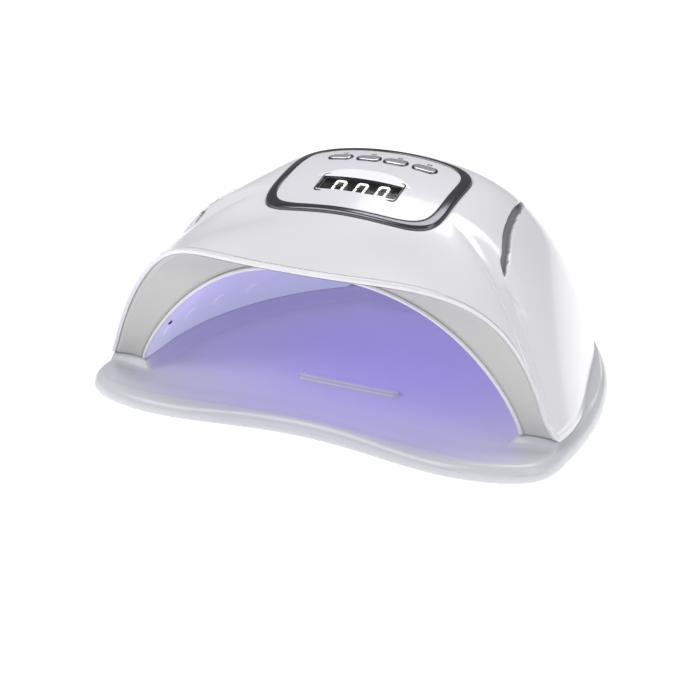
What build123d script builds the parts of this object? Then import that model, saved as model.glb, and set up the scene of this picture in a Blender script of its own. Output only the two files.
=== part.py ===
"""Curing lamp for nails: a domed housing that lifts off a flat base plate.

Millimetres. +X is the right of someone facing the mouth from outside, the mouth faces -Y, +Z is up.
The origin is on the ground under the middle of the base plate.
"""
import os
from math import atan2, cos, degrees, exp, hypot, pi, radians, sin, sqrt

from build123d import *

os.makedirs("parts", exist_ok=True)

# Heights of the base plate and of the parting line
FOOT_PROUD = 0.8
RIM_TOP = 9.0
FLOOR_TOP = 7.8
SEAT_TOP = 12.9
SEAM_Z = 13.0

# Base plate outline: half an ellipse behind, a rounded bar with a waist in front
BASE_HALF_WIDTH = 114.5
BASE_WAIST_Y = -60.0
BASE_REAR_LENGTH = 163.0
BASE_FRONT_LENGTH = 45.0
BASE_CORNER_POWER = 4.4
BASE_FRONT_DIP = 10.0
BASE_DIP_HALF_WIDTH = 84.0
BASE_FRONT_COUNT = 12

# Details of the base plate
RIM_RADIUS = 3.2
SOLE_RADIUS = 3.0
POCKET_INSET = 9.0
POCKET_TOP = 5.2
RIB_THICK = 2.0
RIB_XS = (-75.0, -37.5, 0.0, 37.5, 75.0)
RIB_YS = (-55.0, -15.0, 25.0, 65.0)
FOOT_RECESS = 1.0
FOOT_PAD = 2.0
DISH_HALF = [
    (0.0, -78.0),
    (50.0, -80.5),
    (84.0, -79.0),
    (90.0, -60.0),
    (88.0, -25.0),
    (78.0, 15.0),
    (45.0, 56.0),
]
RIDGE_HALF_LENGTH = 25.5
RIDGE_Y = -47.0
RIDGE_WIDTH = 4.5
RIDGE_TOP = 9.6
SEAT_INSET = 0.2
SEAT_FRONT_Y = -70.0
SEAT_STEP = 1.0
BAND_CORNER = 3.5
OUTLINE_COUNT = 16

# Housing outline at the parting line
SIDE_HALF_WIDTH = 113.2
SEAM_WAIST_Y = -62.0
SEAM_REAR_LENGTH = 157.0
SEAM_DIP = 5.5
SEAM_DIP_SPAN = 0.75
WALL = 2.5

# Outer edge of the mouth, a leaning brim over two legs
BRIM_HALF_WIDTH = 108.5
BRIM_RISE = 69.0
BRIM_SIDE_POWER = 4.0
BRIM_TOP_POWER = 1.4
BRIM_LEG_Y = -76.0
BRIM_CROWN_Y = -103.0
BRIM_FOOT_SETBACK = 3.5
BRIM_FOOT_FLARE = 3.5
BRIM_FOOT_HEIGHT = 14.0

# Inner edge of the mouth, where the white reflector begins
MOUTH_HALF_WIDTH = 93.0
MOUTH_RISE = 59.5
MOUTH_SIDE_POWER = 2.1
MOUTH_TOP_POWER = 1.3
MOUTH_LEG_Y = -72.5
MOUTH_CROWN_Y = -84.0

# Reflector: an arch that grows behind the mouth and then shrinks to a flat rear wall
LINER_WALL = 2.0
LINER_MAX_HALF_WIDTH = 94.5
LINER_MAX_RISE = 62.0
LINER_WIDEST_Y = -40.0
LINER_TAPER_LENGTH = 116.0
LINER_REAR_Y = 60.0

# Crown of the housing: a shallow bowl turned over
CROWN_Z = 106.0
CROWN_BEND_X = 0.0030
CROWN_BEND_Y = 0.0048
CROWN_Y = -2.0

# Trim ring and control panel outlines, rounded rectangles about one axis
AXIS_Y = -28.0
RING_HALF_WIDTH = 43.5
RING_HALF_DEPTH = 27.2
RING_POWER = 5.0
PANEL_HALF_WIDTH = 38.8
PANEL_HALF_DEPTH = 23.9
PANEL_POWER = 5.0
RING_PROUD = 0.6
SHELL_DROP = 0.8
PANEL_THICK = 2.4
LEDGE_THICK = 1.8
LEDGE_REACH = 6.0
RING_GAP = 0.15

# How the dome's wall leaves the ring and meets its lower edge, by direction seen from above
KEY_DIRECTIONS = [0, 45, 58, 66, 75, 110, 180]
SLOPE_AT_RING = [17, 18, 16, 14, 9, 9, 8]
SLOPE_AT_EDGE = [8, 26, 45, 58, 64, 85, 57]
REACH_AT_RING = [0.30, 0.29, 0.29, 0.30, 0.35, 0.25, 0.32]
REACH_AT_EDGE = [0.35, 0.39, 0.44, 0.50, 0.56, 0.41, 0.40]
FAN_TURN = 9.0
FAN_CENTRE = 68.0
FAN_SPREAD = 13.0

# Side vents: the slot's upper and lower edges in side view, as (y, z) from the front tip
VENT_TIP = (-55.4, 70.5)
VENT_UPPER = [(-51.6, 76.4), (-46.9, 81.5), (-37.2, 85.8), (-23.8, 88.4), (-3.0, 89.8)]
VENT_TAIL = (16.0, 86.5)
VENT_LOWER = [(-3.0, 87.2), (-22.6, 86.0), (-37.2, 82.8), (-46.6, 79.0), (-51.4, 74.9)]
VENT_RECESS = 3.15
VENT_INSERT_THICK = 1.2
VENT_PLATE_UPPER = [(-58.0, 68.0), (-53.0, 79.5), (-38.0, 88.0), (-3.0, 91.4), (19.0, 88.5)]
VENT_PLATE_LOWER = [(19.0, 84.0), (-17.0, 82.5), (-38.0, 78.0), (-51.0, 68.0)]

# Display and buttons
WINDOW_Y = -36.7
WINDOW_SIZE = (39.0, 11.5)
WINDOW_CORNER = 1.2
WINDOW_THICK = 1.6
PANEL_CUT = 6.0
MODULE_SIZE = (38.4, 11.0, 4.0)
MODULE_DEPTH = 3.0
DIGIT_SIZE = (5.4, 8.2)
DIGIT_PITCH = 10.6
STROKE = 1.0
BUTTON_Y = -14.0
BUTTON_XS = (-21.0, -6.7, 6.7, 21.0)
BUTTON_SIZE = (10.5, 4.2)
BUTTON_PROUD = 0.7
BUTTON_GAP = 0.15
BUTTON_ROUND = 0.35
BUTTON_FLANGE = 0.9
BUTTON_FLANGE_DEPTH = 4.2
BUTTON_FLANGE_THICK = 1.0
BUTTON_STEM_RADIUS = 1.6
BOARD_DEPTH = 12.8
BOARD_SIZE = (66.0, 36.0, 1.6)
BOARD_CENTRE_Y = -24.5
SWITCH_BODY = (6.0, 6.0, 3.5)
PLUNGER_RADIUS = 1.7
PLUNGER_RISE = 1.1
PLUNGER_SINK = 1.0
PLUNGER_GAP = 0.08
PLUNGER_ROOM = 0.9

# Lights
LED_STATIONS = (-58.0, -36.0, -14.0, 8.0)
LED_SHARES = (-0.86, -0.66, -0.42, 0.0, 0.42, 0.66, 0.86)
LENS_RADIUS = 3.5
LENS_FLANGE_RADIUS = 4.4
STRIP_STANDOFF = 5.4
STRIP_SIZE = (9.0, 0.9)
STRIP_STATIONS = (-64.0, -58.0, -47.0, -36.0, -25.0, -14.0, -3.0, 8.0, 14.0)

# Fasteners, magnets and feet
SCREW_SPOTS = [(102.0, -49.0), (66.5, 52.0), (46.0, 70.0)]
MAGNET_SPOTS = [(101.6, -60.0), (53.0, 66.5), (28.0, 76.0)]
FOOT_SPOTS = [(92.0, -80.0), (98.0, 0.0), (42.0, 78.0)]
SCREW_RADIUS = 1.3
SCREW_HEAD_RADIUS = 2.4
BOSS_RADIUS = 3.2
MAGNET_RADIUS = 2.5
MAGNET_THICK = 2.0
FOOT_RADIUS = 5.0
FRAME_THICK = 2.5

# Flange round the mouth
FLANGE_THICK = 1.6
FLANGE_BEVEL = 5.4
FLANGE_GAP = 0.6
LIP_PROUD = 1.0

# Hand sensors and the lights in the rear wall
SENSOR_Y = -63.0
SENSOR_Z = 30.0
SENSOR_RADIUS = 2.0
REAR_LED_XS = (-26.0, 0.0, 26.0)
REAR_LED_Z = 27.0

# Small fittings
SCREW_HEAD_THICK = 1.4
SCREW_LENGTH = 7.0
SCREW_SLOT = (2.6, 0.6)
SCREW_SLOT_DEPTH = 0.7
AIR_SLOT = (10.0, 2.4)
AIR_SLOT_Y = 70.0
AIR_SLOT_PITCH = 6.0
AIR_SLOT_COUNT = 7
FRAME_SIDE_GAP = 1.4
FRAME_REAR_GAP = 2.9
FRAME_FRONT_Y = -66.0
FRAME_LINER_GAP = 0.35
BOARD_SCREW_SPOTS = [(-29.0, -39.0), (29.0, -39.0), (-29.0, -10.0), (29.0, -10.0)]
BOARD_POST_RADIUS = 2.4
BOARD_SCREW_RADIUS = 1.0
BOARD_SCREW_HEAD_RADIUS = 1.9
BOARD_SCREW_HEAD_THICK = 1.4
BOARD_SCREW_LENGTH = 5.5
BOARD_CORNER = 2.0
BOARD_POST_TRIM = 0.5
SEGMENT_DEPTH = 0.4
STRIP_OVERHANG = 12.0
WIRE_RADIUS = 0.8
WIRE_BEND = 2.4
LEAD_STATION = -25.0
LEAD_BOARD_X = 20.0
LEAD_SPACING = 2.0
LEAD_LAND_Y = 13.0
LEAD_DROP = 4.0
SUPPLY_ROUTE = [(71.0, 26.5), (67.0, 46.0), (48.0, 62.0), (26.0, 79.0), (4.0, 85.5)]
LED_PACKAGE_SIZE = 3.5
LED_PACKAGE_THICK = 1.0
STRIP_SETTLE = 0.2
LENS_FLANGE_BOTTOM = 3.6
LENS_TIP = 0.6
SENSOR_INNER_X = 84.0
SENSOR_LENGTH = 5.5
SENSOR_ROUND = 1.2

# Power inlet at the rear
JACK_Z = 24.5
JACK_FACE_Y = 92.0
JACK_BORE = 5.5
JACK_PIN = 2.1
JACK_SLEEVE_RADIUS = 4.0
JACK_BOSS_RADIUS = 7.6
JACK_WALL = 3.0
JACK_BOSS_WALL = 1.4
JACK_BOSS_REACH = 16.0
JACK_RIM = 0.8
JACK_RIM_WIDTH = 1.2
JACK_NUT_INRADIUS = 5.2
JACK_NUT_THICK = 2.0
JACK_PIN_SINK = 1.0
JACK_LENGTH = 12.0
JACK_BORE_DEPTH = 9.5


def ease(direction, values):
    """Smooth value at a direction between the keyed ones, by cubic pieces."""
    keys = KEY_DIRECTIONS
    last = len(keys) - 1
    k = 0
    while k < last - 1 and direction > keys[k + 1]:
        k += 1

    def slope(i):
        if i in (0, last):
            return 0.0
        return (values[i + 1] - values[i - 1]) / (keys[i + 1] - keys[i - 1])

    span = keys[k + 1] - keys[k]
    u = min(max((direction - keys[k]) / span, 0.0), 1.0)
    start = (1 + 2 * u) * (1 - u) ** 2 * values[k] + u * (1 - u) ** 2 * span * slope(k)
    end = u * u * (3 - 2 * u) * values[k + 1] + u * u * (u - 1) * span * slope(k + 1)
    return start + end


def crown_z(x, y):
    """Height of the panel's face."""
    return CROWN_Z - CROWN_BEND_X * x * x - CROWN_BEND_Y * (y - CROWN_Y) ** 2


def arch_point(share, half_width, rise, side_power, top_power):
    """Point of a pointed arch: share 0 is the crown and 1 the foot on +X."""
    t = abs(share) ** 1.5 * pi / 2
    x = half_width * sin(t) ** (2 / side_power)
    z = rise * max(cos(t), 0.0) ** (2 / top_power)
    return (x if share >= 0 else -x), z


def brim_edge(share):
    """Outer edge of the mouth, from the crown (0) down to the foot (1)."""
    x, rise = arch_point(share, BRIM_HALF_WIDTH, BRIM_RISE, BRIM_SIDE_POWER, BRIM_TOP_POWER)
    lean = (1 - min(x / BRIM_HALF_WIDTH, 1.0) ** 3) ** 3.1
    curl = max(0.0, 1 - rise / BRIM_FOOT_HEIGHT) ** 2
    y = BRIM_LEG_Y + (BRIM_CROWN_Y - BRIM_LEG_Y) * lean + BRIM_FOOT_SETBACK * curl
    return Vector(x + BRIM_FOOT_FLARE * curl, y, SEAM_Z + rise)


def mouth_y(x):
    """Front edge of the reflector in plan."""
    bow = (1 - min(abs(x) / MOUTH_HALF_WIDTH, 1.0) ** 1.5) ** 2.6
    return MOUTH_LEG_Y + (MOUTH_CROWN_Y - MOUTH_LEG_Y) * bow


def liner_size(y):
    """Half width and rise of the reflector's inner arch at a station."""
    if y < LINER_WIDEST_Y:
        u = min((LINER_WIDEST_Y - y) / 30.0, 1.0)
        blend = (1 - u * u * (3 - 2 * u))
        return (
            MOUTH_HALF_WIDTH + (LINER_MAX_HALF_WIDTH - MOUTH_HALF_WIDTH) * blend,
            MOUTH_RISE + (LINER_MAX_RISE - MOUTH_RISE) * blend,
        )
    share = sqrt(1 - ((y - LINER_WIDEST_Y) / LINER_TAPER_LENGTH) ** 2)
    return LINER_MAX_HALF_WIDTH * share, LINER_MAX_RISE * share


def seam_corner(share):
    """Lower edge of the leg, from the mouth (0) round to the side (1)."""
    a = share * pi / 2
    front = BRIM_LEG_Y + BRIM_FOOT_SETBACK
    start = BRIM_HALF_WIDTH + BRIM_FOOT_FLARE
    x = start + (SIDE_HALF_WIDTH - start) * sin(a)
    return Vector(x, SEAM_WAIST_Y + (front - SEAM_WAIST_Y) * cos(a), SEAM_Z)


def seam_rear(share, side_shrink=0.0, rear_shrink=0.0):
    """Lower edge of the housing, from the side (0) to the middle of the back (1)."""
    a = share * pi / 2
    dip = SEAM_DIP * sin(pi * min(sin(a) / SEAM_DIP_SPAN, 1.0)) ** 2
    x = (SIDE_HALF_WIDTH - side_shrink) * max(cos(a), 0.0) - dip
    return Vector(x, SEAM_WAIST_Y + (SEAM_REAR_LENGTH - rear_shrink) * sin(a), SEAM_Z)


def rounded_point(direction, half_width, half_depth, power):
    """Point of a rounded rectangle about the panel's axis, direction 0 being the front."""
    s, c = abs(sin(direction)), abs(cos(direction))
    r = ((s / half_width) ** power + (c / half_depth) ** power) ** (-1 / power)
    return r * sin(direction), AXIS_Y - r * cos(direction)


def wall_section(edge):
    """Vertical plane through an edge point, with the poles of the wall's outer face in it."""
    toward = degrees(atan2(edge.X, AXIS_Y - edge.Y))
    fan = toward + FAN_TURN * exp(-(((toward - FAN_CENTRE) / FAN_SPREAD) ** 2))
    if edge.X < 0.01:
        fan = toward
    rx, ry = rounded_point(radians(fan), RING_HALF_WIDTH, RING_HALF_DEPTH, RING_POWER)
    span = hypot(edge.X - rx, edge.Y - ry)
    out = Vector((edge.X - rx) / span, (edge.Y - ry) / span, 0)
    plane = Plane(origin=(rx, ry, 0), x_dir=out, z_dir=Vector(out.Y, -out.X, 0))
    return plane, toward, span, crown_z(rx, ry) - SHELL_DROP


def wall_poles(edge, depth):
    """Poles of the wall's face at a depth under its outer face, in the section's plane."""
    plane, toward, span, top = wall_section(edge)
    alpha = radians(ease(toward, SLOPE_AT_RING))
    beta = radians(ease(toward, SLOPE_AT_EDGE))
    chord = hypot(span, top - edge.Z)
    shrink = 1 - depth / chord
    upper = ease(toward, REACH_AT_RING) * chord * shrink
    lower = ease(toward, REACH_AT_EDGE) * chord * shrink
    x3, z3 = span - depth * sin(beta), edge.Z - depth * cos(beta)
    if z3 < SEAM_Z:
        x3, z3 = span - depth / sin(beta), SEAM_Z
    z0 = top - depth
    return plane, [
        (0, z0),
        (upper * cos(alpha), z0 - upper * sin(alpha)),
        (x3 - lower * cos(beta), z3 + lower * sin(beta)),
        (x3, z3),
    ]


FRONT_COUNT = 14
FRONT_EDGES = [brim_edge(i / FRONT_COUNT) for i in range(FRONT_COUNT + 1)]
CORNER_EDGES = [seam_corner(i / 4) for i in range(1, 4)]
REAR_EDGES = [seam_rear(i / 12) for i in range(13)]
ALL_EDGES = FRONT_EDGES + CORNER_EDGES + REAR_EDGES
VENT_EDGES = ALL_EDGES[8:28]


def wall_face(edge, outer_depth, inner_depth, ledge=False):
    """Closed section of the dome's wall between two depths, with or without the panel's ledge."""
    plane, outer = wall_poles(edge, outer_depth)
    _, inner = wall_poles(edge, inner_depth)
    lip = []
    if ledge:
        inside = plane.from_local_coords((-LEDGE_REACH, 0))
        lip_z = crown_z(inside.X, inside.Y) - PANEL_THICK
        root_z = outer[0][1] + SHELL_DROP - PANEL_THICK
        inner[0] = (0, root_z - LEDGE_THICK)
        lip = [(-LEDGE_REACH, lip_z - LEDGE_THICK), (-LEDGE_REACH, lip_z), (0, root_z)]
    with BuildSketch(plane) as section:
        with BuildLine():
            Bezier(*outer)
            Line(outer[3], inner[3])
            Bezier(*inner[::-1])
            Polyline(inner[0], *lip, outer[0])
        make_face()
    return section.sketch.faces()[0]


def half_wall(edges, outer_depth, inner_depth, ledge=False):
    """Half of the dome's wall on +X."""
    return Solid.make_loft(
        [wall_face(edge, outer_depth, inner_depth, ledge).outer_wire() for edge in edges]
    )


def outline_points(half_width, half_depth, power, count=72):
    """Points of a rounded rectangle about the panel's axis."""
    return [
        rounded_point(2 * pi * i / count, half_width, half_depth, power) for i in range(count)
    ]


def panel_prism(half_width, half_depth, power):
    """Upright prism over a rounded rectangle about the panel's axis."""
    with BuildPart() as prism:
        with BuildSketch(Plane.XY.offset(60)):
            with BuildLine():
                Spline(*outline_points(half_width, half_depth, power), periodic=True)
            make_face()
        extrude(amount=60)
    return prism.part


def crown_slab(top, bottom, half_x=60.0, front=-66.0, rear=12.0, stations=7):
    """Slab that follows the panel's face between two heights above it."""
    sections = []
    for i in range(stations):
        y = front + (rear - front) * i / (stations - 1)
        low = crown_z(half_x, y)
        peak = crown_z(0, y) + CROWN_BEND_X * half_x**2
        with BuildSketch(Plane(origin=(0, y, 0), x_dir=(1, 0, 0), z_dir=(0, -1, 0))) as section:
            with BuildLine():
                Bezier((-half_x, low + top), (0, peak + top), (half_x, low + top))
                Line((half_x, low + top), (half_x, low + bottom))
                Bezier((half_x, low + bottom), (0, peak + bottom), (-half_x, low + bottom))
                Line((-half_x, low + bottom), (-half_x, low + top))
            make_face()
        sections.append(section.sketch.faces()[0].outer_wire())
    return Solid.make_loft(sections)


def finish(builder, name):
    """Label a finished piece and write it."""
    builder.part.label = name
    export_step(builder.part, f"parts/{name}.step")
    print(name, len(builder.part.solids()), round(builder.part.volume, 1))


# Base plate
def base_front(inset):
    """Points along the front of the base plate, from +X round to -X, drawn in by an inset."""
    half = BASE_HALF_WIDTH - inset
    length = BASE_FRONT_LENGTH - inset
    points = []
    for i in range(BASE_FRONT_COUNT + 1):
        u = i / BASE_FRONT_COUNT
        t = pi / 2 * u * u * (3 - 2 * u)
        x = half * max(cos(t), 0.0) ** (2 / BASE_CORNER_POWER)
        y = BASE_WAIST_Y - length * sin(t) ** (2 / BASE_CORNER_POWER)
        y += BASE_FRONT_DIP * cos(pi / 2 * min(x / BASE_DIP_HALF_WIDTH, 1.0)) ** 2
        points.append((x, y))
    return points + [(-x, y) for x, y in points[-2::-1]]


def base_outline(inset=0.0):
    """Outline of the base plate, drawn in by an inset."""
    half = BASE_HALF_WIDTH - inset
    with BuildSketch() as outline:
        with BuildLine():
            EllipticalCenterArc(
                (0, BASE_WAIST_Y), half, BASE_REAR_LENGTH - inset, start_angle=0, arc_size=180
            )
            Spline(*base_front(inset), tangents=[(0, -1), (0, 1)])
        make_face()
    return outline.sketch


def horseshoe(side_shrink, rear_shrink, front_y, hollow_grow):
    """Band between the housing's outline and the reflector's footprint, open at the front."""
    steps = range(OUTLINE_COUNT + 1)
    right = [seam_rear(i / OUTLINE_COUNT, side_shrink, rear_shrink) for i in steps]
    rim = [(edge.X, edge.Y) for edge in right] + [(-edge.X, edge.Y) for edge in right[-2::-1]]
    half = rim[0][0]
    turn = BAND_CORNER * (1 - sqrt(0.5))
    mouth = MOUTH_HALF_WIDTH + hollow_grow
    stations = [LINER_REAR_Y + (LINER_WIDEST_Y - 30 - LINER_REAR_Y) * i / 10 for i in range(11)]
    side = [(liner_size(y)[0] + hollow_grow, y) for y in stations[::-1]]
    rear_half = side[-1][0]
    rear_y = LINER_REAR_Y + hollow_grow
    with BuildSketch() as band:
        with BuildLine():
            Spline(*rim)
            Line(rim[-1], (-half, front_y + BAND_CORNER))
            ThreePointArc(
                (-half, front_y + BAND_CORNER),
                (-half + turn, front_y + turn),
                (-half + BAND_CORNER, front_y),
            )
            Line((-half + BAND_CORNER, front_y), (half - BAND_CORNER, front_y))
            ThreePointArc(
                (half - BAND_CORNER, front_y),
                (half - turn, front_y + turn),
                (half, front_y + BAND_CORNER),
            )
            Line((half, front_y + BAND_CORNER), rim[0])
        make_face()
        with BuildLine():
            Spline(*side)
            Polyline(side[-1], (rear_half, rear_y), (-rear_half, rear_y), (-rear_half, LINER_REAR_Y))
            Spline(*[(-x, y) for x, y in side[::-1]])
            Polyline(
                (-mouth, stations[-1]),
                (-mouth, MOUTH_LEG_Y - 20),
                (mouth, MOUTH_LEG_Y - 20),
                side[0],
            )
        make_face(mode=Mode.SUBTRACT)
    return band.sketch


def both_sides(spots):
    """Spots on +X and their mirror images."""
    return [(x, y) for x, y in spots] + [(-x, y) for x, y in spots]


plate_outline = base_outline()
pocket_outline = base_outline(POCKET_INSET)
seat_band = horseshoe(SEAT_INSET, SEAT_INSET, SEAT_FRONT_Y, SEAT_STEP)

with BuildPart() as base_plate:
    with BuildSketch(Plane.XY.offset(FOOT_PROUD)):
        add(plate_outline)
    extrude(amount=RIM_TOP - FOOT_PROUD)
    rim_edges = base_plate.edges().group_by(Axis.Z)
    fillet(rim_edges[-1], radius=RIM_RADIUS)
    fillet(base_plate.edges().group_by(Axis.Z)[0], radius=SOLE_RADIUS)
    # Raised seat for the housing
    with BuildSketch(Plane.XY.offset(RIM_TOP - 1)):
        add(seat_band)
    extrude(amount=SEAT_TOP - RIM_TOP + 1)
    # Shallow floor under the hand
    with BuildSketch(Plane.XY.offset(FLOOR_TOP)):
        with BuildLine():
            Spline(*[(-x, y) for x, y in DISH_HALF[:0:-1]], *DISH_HALF)
            Line(DISH_HALF[-1], (-DISH_HALF[-1][0], DISH_HALF[-1][1]))
        make_face()
    extrude(amount=2, mode=Mode.SUBTRACT)
    # Finger bar
    with BuildSketch(Plane.XY.offset(FLOOR_TOP - 0.5)):
        with Locations((0, RIDGE_Y)):
            SlotOverall(2 * RIDGE_HALF_LENGTH, RIDGE_WIDTH)
    extrude(amount=RIDGE_TOP - FLOOR_TOP + 0.5)
    # Ribbed underside with a pad over each foot
    with BuildSketch(Plane.XY.offset(FOOT_PROUD)):
        add(pocket_outline)
        with Locations(*[(x, 0) for x in RIB_XS]):
            Rectangle(RIB_THICK, 3 * BASE_HALF_WIDTH, mode=Mode.SUBTRACT)
        with Locations(*[(0, y) for y in RIB_YS]):
            Rectangle(3 * BASE_HALF_WIDTH, RIB_THICK, mode=Mode.SUBTRACT)
        with Locations(*both_sides(FOOT_SPOTS)):
            Circle(FOOT_RADIUS + FOOT_PAD, mode=Mode.SUBTRACT)
    extrude(amount=POCKET_TOP - FOOT_PROUD, mode=Mode.SUBTRACT)
    with BuildSketch(Plane.XY.offset(FOOT_PROUD)):
        with Locations(*both_sides(FOOT_SPOTS)):
            Circle(FOOT_RADIUS)
    extrude(amount=FOOT_RECESS, mode=Mode.SUBTRACT)
    with BuildSketch(Plane.XY.offset(SEAT_TOP)):
        with Locations(*both_sides(MAGNET_SPOTS)):
            Circle(MAGNET_RADIUS)
    extrude(amount=-MAGNET_THICK, mode=Mode.SUBTRACT)
finish(base_plate, "base_plate")

with BuildPart() as rubber_feet:
    with BuildSketch(Plane.XY):
        with Locations(*both_sides(FOOT_SPOTS)):
            Circle(FOOT_RADIUS)
    extrude(amount=FOOT_PROUD + FOOT_RECESS)
finish(rubber_feet, "rubber_feet")

with BuildPart() as base_magnets:
    with BuildSketch(Plane.XY.offset(SEAT_TOP)):
        with Locations(*both_sides(MAGNET_SPOTS)):
            Circle(MAGNET_RADIUS)
    extrude(amount=-MAGNET_THICK)
finish(base_magnets, "base_magnets")


# Housing shell
with BuildPart() as vent_outline:
    with BuildSketch(Plane.YZ):
        with BuildLine():
            Spline(VENT_TIP, *VENT_UPPER, VENT_TAIL)
            Spline(VENT_TAIL, *VENT_LOWER, VENT_TIP)
        make_face()
    extrude(amount=130, both=True)

with BuildPart() as boss_room:
    # Space under the middle of the wall, which the screw bosses fill up to
    rooms = []
    for edge in REAR_EDGES:
        plane, poles = wall_poles(edge, WALL / 2)
        with BuildSketch(plane) as room:
            with BuildLine():
                Bezier(*poles)
                Polyline(poles[3], (0, SEAM_Z), poles[0])
            make_face()
        rooms.append(room.sketch.faces()[0].outer_wire())
    add(Solid.make_loft(rooms))
    mirror(about=Plane.YZ)

with BuildPart() as screw_bosses:
    with BuildSketch(Plane.XY.offset(SEAM_Z + FRAME_THICK)):
        with Locations(*both_sides(SCREW_SPOTS)):
            Circle(BOSS_RADIUS)
    extrude(amount=60)
    add(boss_room.part, mode=Mode.INTERSECT)

with BuildPart() as upper_shell:
    add(half_wall(ALL_EDGES, 0, WALL, ledge=True))
    mirror(about=Plane.YZ)
    add(screw_bosses.part)
    add(vent_outline.part, mode=Mode.SUBTRACT)
    # Round boss for the power inlet, bored from both faces
    with BuildSketch(Plane.XZ.offset(-JACK_FACE_Y)):
        with Locations((0, JACK_Z)):
            Circle(JACK_BOSS_RADIUS)
    extrude(amount=JACK_BOSS_REACH)
    with BuildSketch(Plane.XZ.offset(-JACK_FACE_Y)):
        with Locations((0, JACK_Z)):
            Circle(JACK_SLEEVE_RADIUS)
    extrude(amount=2 * JACK_BOSS_REACH, mode=Mode.SUBTRACT)
    with BuildSketch(Plane.XZ.offset(-JACK_FACE_Y + JACK_WALL)):
        with Locations((0, JACK_Z)):
            Circle(JACK_BOSS_RADIUS - JACK_BOSS_WALL)
    extrude(amount=2 * JACK_BOSS_REACH, mode=Mode.SUBTRACT)
    with BuildSketch(Plane.XY.offset(SEAM_Z - 5)):
        Rectangle(3 * BASE_HALF_WIDTH, 3 * BASE_HALF_WIDTH)
    extrude(amount=5, mode=Mode.SUBTRACT)
    with BuildSketch(Plane.XY.offset(SEAM_Z)):
        with Locations(*both_sides(SCREW_SPOTS)):
            Circle(SCREW_RADIUS)
    extrude(amount=10, mode=Mode.SUBTRACT)
finish(upper_shell, "upper_shell")

# Dark plates behind the side vents
with BuildPart() as vent_frame:
    with BuildSketch(Plane.YZ):
        with BuildLine():
            Polyline(*VENT_PLATE_UPPER, *VENT_PLATE_LOWER, close=True)
        make_face()
    extrude(amount=130)

with BuildPart() as vent_insert_right:
    add(half_wall(VENT_EDGES, VENT_RECESS, VENT_RECESS + VENT_INSERT_THICK))
    add(vent_frame.part, mode=Mode.INTERSECT)
finish(vent_insert_right, "vent_insert_right")

with BuildPart() as vent_insert_left:
    add(vent_insert_right.part)
    mirror(about=Plane.YZ, mode=Mode.REPLACE)
finish(vent_insert_left, "vent_insert_left")


# Flange round the mouth, from the brim in to the reflector's edge
def flange_section(share):
    """Closed wire of the flange across the band at a share of the way down."""
    plane, poles = wall_poles(brim_edge(share), WALL)
    outer = plane.from_local_coords(poles[3])
    x, rise = arch_point(
        share,
        MOUTH_HALF_WIDTH + LINER_WALL + 0.1,
        MOUTH_RISE + LINER_WALL + 0.1,
        MOUTH_SIDE_POWER,
        MOUTH_TOP_POWER,
    )
    inner = Vector(x, mouth_y(x) + LIP_PROUD, SEAM_Z + rise)
    across = (inner - outer).normalized()
    step = 0.02
    far = min(share + step, 1.0)
    ahead = brim_edge(far) - brim_edge(far - step) if share > 0 else Vector(1, 0, 0)
    back = across.cross(ahead).normalized()
    if back.Y < 0:
        back = back * -1
    start = outer + across * FLANGE_GAP
    corners = [
        start,
        inner,
        inner + back * FLANGE_THICK,
        start + across * FLANGE_BEVEL + back * FLANGE_THICK,
    ]
    return Wire.make_polygon(corners, close=True)


with BuildPart() as mouth_flange:
    add(Solid.make_loft([flange_section(i / FRONT_COUNT) for i in range(FRONT_COUNT + 1)]))
    mirror(about=Plane.YZ)
    with BuildSketch(Plane.XY.offset(SEAM_Z - 6)):
        Rectangle(3 * BASE_HALF_WIDTH, 3 * BASE_HALF_WIDTH)
    extrude(amount=6, mode=Mode.SUBTRACT)
finish(mouth_flange, "mouth_flange")


# Reflector
def arch_face(y, grow):
    """Arch across the reflector at a station, grown outward, with a flat foot."""
    half_width, rise = liner_size(y)
    count = 12
    points = [
        arch_point(i / count, half_width + grow, rise + grow, MOUTH_SIDE_POWER, MOUTH_TOP_POWER)
        for i in range(-count, count + 1)
    ]
    with BuildSketch(Plane(origin=(0, y, SEAM_Z), x_dir=(1, 0, 0), z_dir=(0, -1, 0))) as arch:
        with BuildLine():
            Spline(*points)
            Line(points[-1], points[0])
        make_face()
    return arch.sketch.faces()[0]


def arch_body(grow, rear_y):
    """Solid arch from in front of the mouth to the rear wall."""
    stations = [MOUTH_CROWN_Y - 8, -80, -70, -55, -40, -20, 0, 20, 40, rear_y]
    return Solid.make_loft([arch_face(y, grow).outer_wire() for y in stations])


def wall_point(share, y):
    """Point on the reflector's inner face."""
    half_width, rise = liner_size(y)
    x, z = arch_point(share, half_width, rise, MOUTH_SIDE_POWER, MOUTH_TOP_POWER)
    return Vector(x, y, SEAM_Z + z)


def wall_plane(share, y):
    """Plane on the reflector's inner face, with +X to the rear and +Z out of the cavity."""
    spot = wall_point(share, y)
    along = (wall_point(share, y + 1) - wall_point(share, y - 1)).normalized()
    side = wall_point(share + 0.02, y) - wall_point(share - 0.02, y)
    out = side.cross(along).normalized()
    if out.Z < 0:
        out = out * -1
    return Plane(origin=spot, x_dir=along, z_dir=out)


def led_planes():
    """One plane for each light, on the wall with +Z outward."""
    planes = [wall_plane(share, y) for share in LED_SHARES for y in LED_STATIONS]
    for x in REAR_LED_XS:
        spot = (x, LINER_REAR_Y, REAR_LED_Z)
        planes.append(Plane(origin=spot, x_dir=(1, 0, 0), z_dir=(0, 1, 0)))
    return planes


LED_PLANES = led_planes()

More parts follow.
